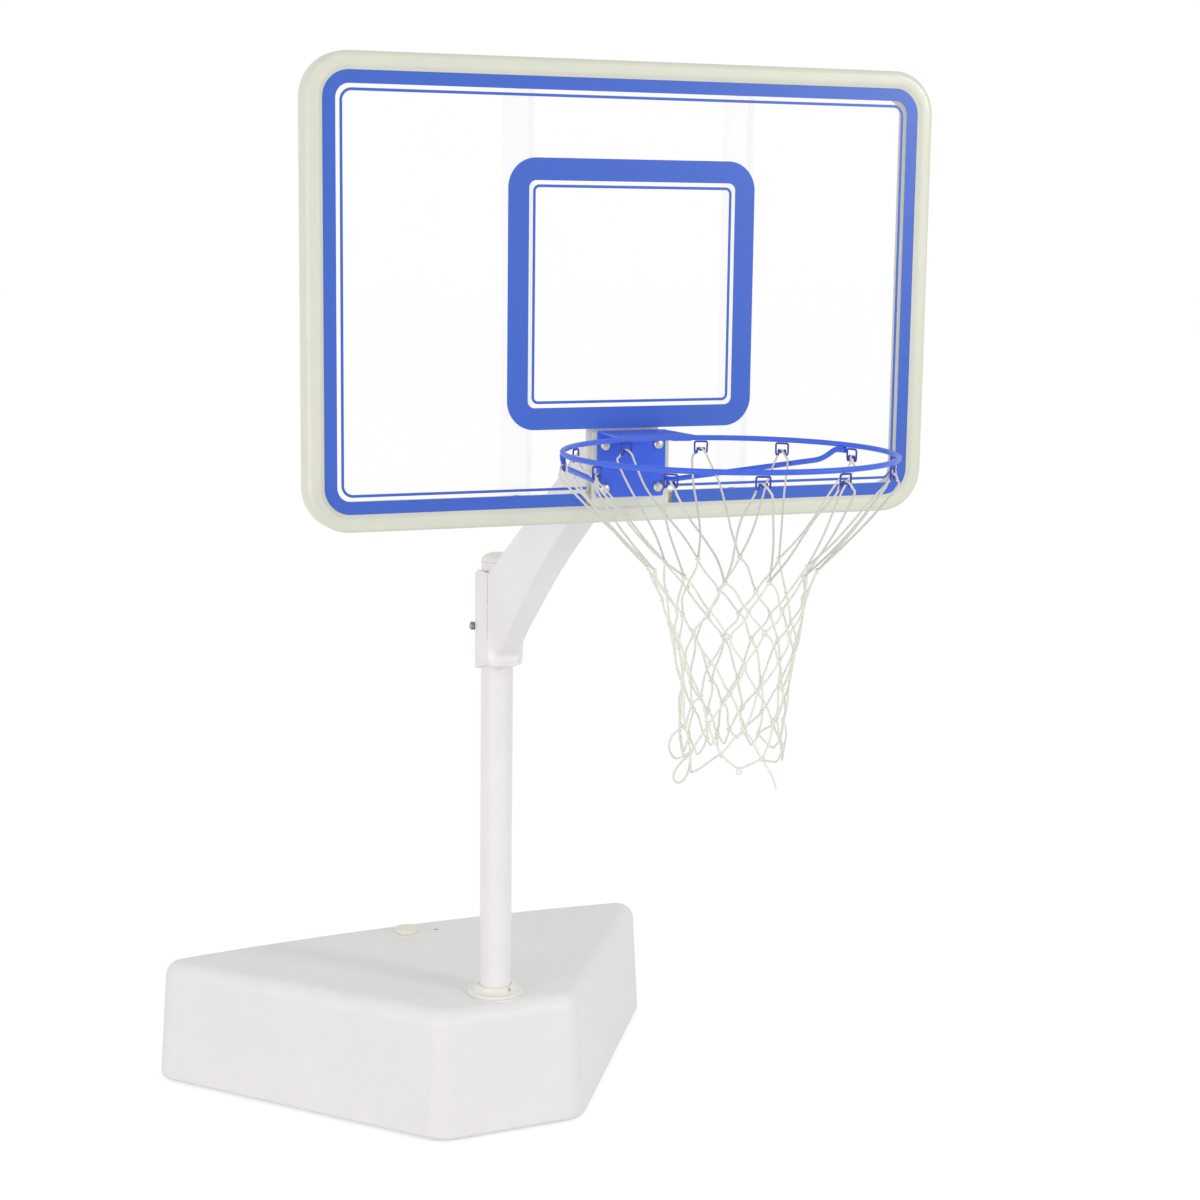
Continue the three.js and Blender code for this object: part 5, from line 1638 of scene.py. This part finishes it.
def knot_run(place, degrees, size, lean):
    """A small tied knot: a trefoil of cord, facing out from the ring's axis."""
    facing = Matrix.Rotation(math.radians(degrees) - QUARTER, 3, "Z") @ Matrix.Rotation(lean, 3, "Y")
    run = []
    for k in range(KNOT_POINTS):
        t = 2 * math.pi * k / KNOT_POINTS
        across, up = math.sin(t) + 2 * math.sin(2 * t), math.cos(t) - 2 * math.cos(2 * t)
        point = Vector((across, -math.sin(3 * t) * 1.15, up))
        run.append(place + facing @ (point * size))
    return run


def cord_over_hook(degrees):
    """The bend of a cord over a hook's dip, its two ends falling to either side."""
    bend = [(11.5, 5.4, -17), (8, 5.2, -9), (4.4, 4.9, -4), (1.7, 3.2, -0.9)]
    aside = bend + [(0, 0, 0.4)] + [(-reach, -out, fall) for reach, out, fall in reversed(bend)]
    return [
        round_axis(degrees + math.degrees(reach / RING_RADIUS), RING_RADIUS + out, CORD_OVER_HOOK + fall)
        for reach, out, fall in aside
    ]


def hem_stretch(start, end, drop, lowest, dice):
    """A stretch of the hem, hanging slack between two knots."""
    along = end - start
    outward = away_from_axis(start, end)
    after = 1 - lowest
    shares = [(lowest * 0.35, 0.5), (lowest * 0.8, 0.94), (lowest, 1)]
    shares += [(lowest + after * 0.22, 0.86), (lowest + after * 0.62, 0.42)]
    low = [
        start + along * share + Vector((0, 0, -drop * fall)) + outward * fall * dice.uniform(0, 4)
        for share, fall in shares
    ]
    return smooth_run([start, *low, end], 5)


def slack_run(place, steps, end=None):
    """A slack cord from a knot through points given as (aside, down), and on to its end."""
    run = [place] + [place + ACROSS * aside + Vector((0, 0, -down)) for aside, down in steps]
    return smooth_run(run + ([end] if end else []), 5)


def hanging_tail(place, drop, dice):
    """A short end of cord that hangs from a knot."""
    lean = Vector((dice.uniform(-1, 1), dice.uniform(-1, 1), 0)) * drop * 0.2
    middle = place + lean * 0.3 + Vector((0, 0, -drop * 0.45))
    return smooth_run([place, middle, place + lean + Vector((0, 0, -drop))], 5)


class HOOP_OT_knot_net(bpy.types.Operator):
    """Hang the cords on the hooks and knot the net"""

    bl_idname = "hoop.knot_net"
    bl_label = "Net"

    def execute(self, context):
        sizes = context.scene.hoop_sizes
        radius = sizes.cord / MM / 2
        dice = random.Random(sizes.seed)
        places = net_places(dice)
        last = len(NET_ROWS) - 1
        bm = bmesh.new()
        for column in range(NET_COLUMNS):
            over = cord_over_hook(HOOK_START + HOOK_STEP * column)
            down = slack_cord(over[-1], places[0, (column - 1) % NET_COLUMNS], dice, HOOK_SLACK)
            up = slack_cord(places[0, column], over[0], dice, HOOK_SLACK)
            add_tube(bm, smooth_run([*up[::4], *over[1:-1], *down[::4]], 4), radius, CORD_SIDES)
            for row in range(last):
                on = 1 if row % 2 == 0 else 0
                here = places[row, column]
                for side in (0, 1):
                    there = places[row + 1, (column + on - side) % NET_COLUMNS]
                    add_tube(bm, slack_cord(here, there, dice, CORD_SLACK), radius, CORD_SIDES)
            for row in range(last + 1):
                lean = dice.uniform(-KNOT_LEAN, KNOT_LEAN)
                run = knot_run(places[row, column], knot_degrees(row, column), KNOT_SIZE, lean)
                add_tube(bm, smooth_run(run, 2, cyclic=True), radius * KNOT_CORD, 8, cyclic=True)
            start, end = places[last, column], places[last, (column + 1) % NET_COLUMNS]
            add_tube(bm, hem_stretch(start, end, *HEM[column], dice), radius, CORD_SIDES)
            if column in TAILS:
                add_tube(bm, hanging_tail(start, TAILS[column], dice), radius * TAIL_CORD, 8)
        left, front, right = (places[last, column] for column in (HEM_LEFT, HEM_FRONT, HEM_RIGHT))
        drop, lowest = HEM[HEM_FRONT]
        fold = front.lerp(right, lowest) + Vector((0, 0, -drop))
        slack_runs = [
            slack_run(places[last - 1, HEM_LEFT], UPPER_LOOP, left), slack_run(left, LOWER_LOOP, left),
            slack_run(fold, TWIST, fold), slack_run(right, LOOSE_END),
        ]
        for run in slack_runs:
            add_tube(bm, run, radius, CORD_SIDES)
        at_board(bm)
        set_piece("knotted_net", bm, "hoop", "net_cord", ["net"], sharp=80)
        return {"FINISHED"}


class HOOP_OT_fill_water(bpy.types.Operator):
    """Give the water inside the base its finish"""

    bl_idname = "hoop.fill_water"
    bl_label = "Water"

    def execute(self, context):
        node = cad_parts["water_ballast"]
        for place in node.material_slots:
            place.material = finish("water")
        return {"FINISHED"}


# Stage

FLOOR_SIZE = 40
# The floor's shade in the light on the object, and as the eye and the clear pieces see it
FLOOR_LIT = 0.8
FLOOR_SEEN = 0.42
FLOOR_GLOW = 0.72
AMBIENT = 0.66
# The lamps, in metres and watts: name, place, aim, size, power and colour
LAMPS = [
    ("left_lamp", (-4.2, -2.9, 1.0), (0, -0.2, 0.6), (3.6, 1.8), 71, (1, 0.97, 1)),
    ("right_lamp", (2.95, -4.05, 2.4), (0, -0.2, 0.7), (0.7, 0.7), 57, (0.99, 1, 0.94)),
]
# The camera's place in metres, its turns in degrees, and its lens and sensor in millimetres
CAMERA_PLACE = (-1.4183, -3.8654, 1.6545)
CAMERA_PAN = -22.684
CAMERA_TILT = 80.532
CAMERA_ROLL = 0.741
FOCAL_LENGTH = 70.49
SENSOR_WIDTH = 36


def soft_lamp(name, place, aim, size, watts, colour):
    """A large soft lamp aimed at a point."""
    lamp = bpy.data.lights.new(name, "AREA")
    lamp.shape = "RECTANGLE"
    lamp.size, lamp.size_y = size
    lamp.energy = watts
    lamp.color = colour
    holder = bpy.data.objects.new(name, lamp)
    holder.location = place
    holder.rotation_euler = (Vector(aim) - Vector(place)).to_track_quat("-Z", "Y").to_euler()
    bpy.context.scene.collection.objects.link(holder)


def grey(value):
    """An opaque grey in linear values."""
    return (value, value, value, 1)


def seen_white(start):
    """1 where the eye, a reflection or a clear piece looks, 0 for light on the object."""
    camera = start.add("ShaderNodeLightPath")
    glossy = start.add("ShaderNodeLightPath", output="Is Glossy Ray")
    through = start.add("ShaderNodeLightPath", output="Is Transmission Ray")
    return start.sum("MINIMUM", camera + glossy + through, 1.0)


class HOOP_OT_light_stage(bpy.types.Operator):
    """Set the pale floor, the soft lamps and the camera"""

    bl_idname = "hoop.light_stage"
    bl_label = "Stage"

    def execute(self, context):
        scene = context.scene
        scene.view_settings.view_transform = "Standard"
        bm = bmesh.new()
        bmesh.ops.create_grid(bm, x_segments=4, y_segments=4, size=FLOOR_SIZE)
        mesh = bpy.data.meshes.new("studio_floor")
        bm.to_mesh(mesh)
        bm.free()
        floor = bpy.data.objects.new("studio_floor", mesh)
        scene.collection.objects.link(floor)
        material, start = new_finish("studio_floor")
        lit = start.add("ShaderNodeBsdfDiffuse", None, {"Color": grey(FLOOR_LIT)})
        pale = start.add("ShaderNodeBsdfDiffuse", None, {"Color": grey(FLOOR_SEEN)})
        glow = start.add("ShaderNodeEmission", None, {"Color": grey(1), "Strength": FLOOR_GLOW})
        both = start.add("ShaderNodeAddShader", None, {0: pale, 1: glow})
        shown = start.add("ShaderNodeMixShader", None, {0: seen_white(start), 1: lit, 2: both})
        start.add("ShaderNodeOutputMaterial", None, {"Surface": shown})
        mesh.materials.append(material)

        world = bpy.data.worlds.new("studio")
        scene.world = world
        world.use_nodes = True
        world.node_tree.nodes.clear()
        start = Wire(world.node_tree)
        seen = start.add("ShaderNodeBackground", None, {"Color": grey(1), "Strength": 1.0})
        ambient = start.add("ShaderNodeBackground", None, {"Color": grey(1), "Strength": AMBIENT})
        both = start.add("ShaderNodeMixShader", None, {0: seen_white(start), 1: ambient, 2: seen})
        start.add("ShaderNodeOutputWorld", None, {"Surface": both})

        for lamp in LAMPS:
            soft_lamp(*lamp)

        lens = bpy.data.cameras.new("photo_camera")
        lens.lens = FOCAL_LENGTH
        lens.sensor_width = SENSOR_WIDTH
        lens.clip_end = 200
        camera = bpy.data.objects.new("photo_camera", lens)
        placed = Matrix.Translation(CAMERA_PLACE)
        turns = ((CAMERA_PAN, "Z"), (CAMERA_TILT, "X"), (CAMERA_ROLL, "Z"))
        pan, tilt, roll = (Matrix.Rotation(math.radians(angle), 4, axis) for angle, axis in turns)
        camera.matrix_world = placed @ (pan @ tilt @ roll)
        scene.collection.objects.link(camera)
        scene.camera = camera
        return {"FINISHED"}


OPERATORS = (
    HOOP_OT_light_stage,
    HOOP_OT_mould_tank,
    HOOP_OT_fit_fill_cap,
    HOOP_OT_fit_collar,
    HOOP_OT_fill_water,
    HOOP_OT_set_pole,
    HOOP_OT_bend_sleeve,
    HOOP_OT_press_arm,
    HOOP_OT_mould_frame,
    HOOP_OT_cut_panel,
    HOOP_OT_fit_struts,
    HOOP_OT_forge_rim,
    HOOP_OT_bend_hooks,
    HOOP_OT_fit_bolts,
    HOOP_OT_knot_net,
)


class HOOP_PT_maker(bpy.types.Panel):
    """Lists the hoop's pieces in the sidebar"""

    bl_idname = "HOOP_PT_maker"
    bl_label = "Poolside hoop"
    bl_space_type = "VIEW_3D"
    bl_region_type = "UI"
    bl_category = "Hoop"

    def draw(self, context):
        for group in (context.scene.hoop_sizes, context.scene.hoop_colours):
            box = self.layout.box()
            for name in group.__annotations__:
                box.prop(group, name)
        for operator in OPERATORS:
            self.layout.operator(operator.bl_idname)


CLASSES = (HoopSizes, HoopColours, *OPERATORS, HOOP_PT_maker)


def register():
    """Registers the classes and their properties."""
    for item in CLASSES:
        bpy.utils.register_class(item)
    bpy.types.Scene.hoop_sizes = PointerProperty(type=HoopSizes)
    bpy.types.Scene.hoop_colours = PointerProperty(type=HoopColours)


def unregister():
    """Takes the properties and classes out again."""
    del bpy.types.Scene.hoop_colours
    del bpy.types.Scene.hoop_sizes
    for item in reversed(CLASSES):
        bpy.utils.unregister_class(item)


def main():
    """Registers the classes and makes every piece in order."""
    register()
    for operator in OPERATORS:
        group, name = operator.bl_idname.split(".")
        getattr(getattr(bpy.ops, group), name)()


if __name__ == "__main__":
    main()
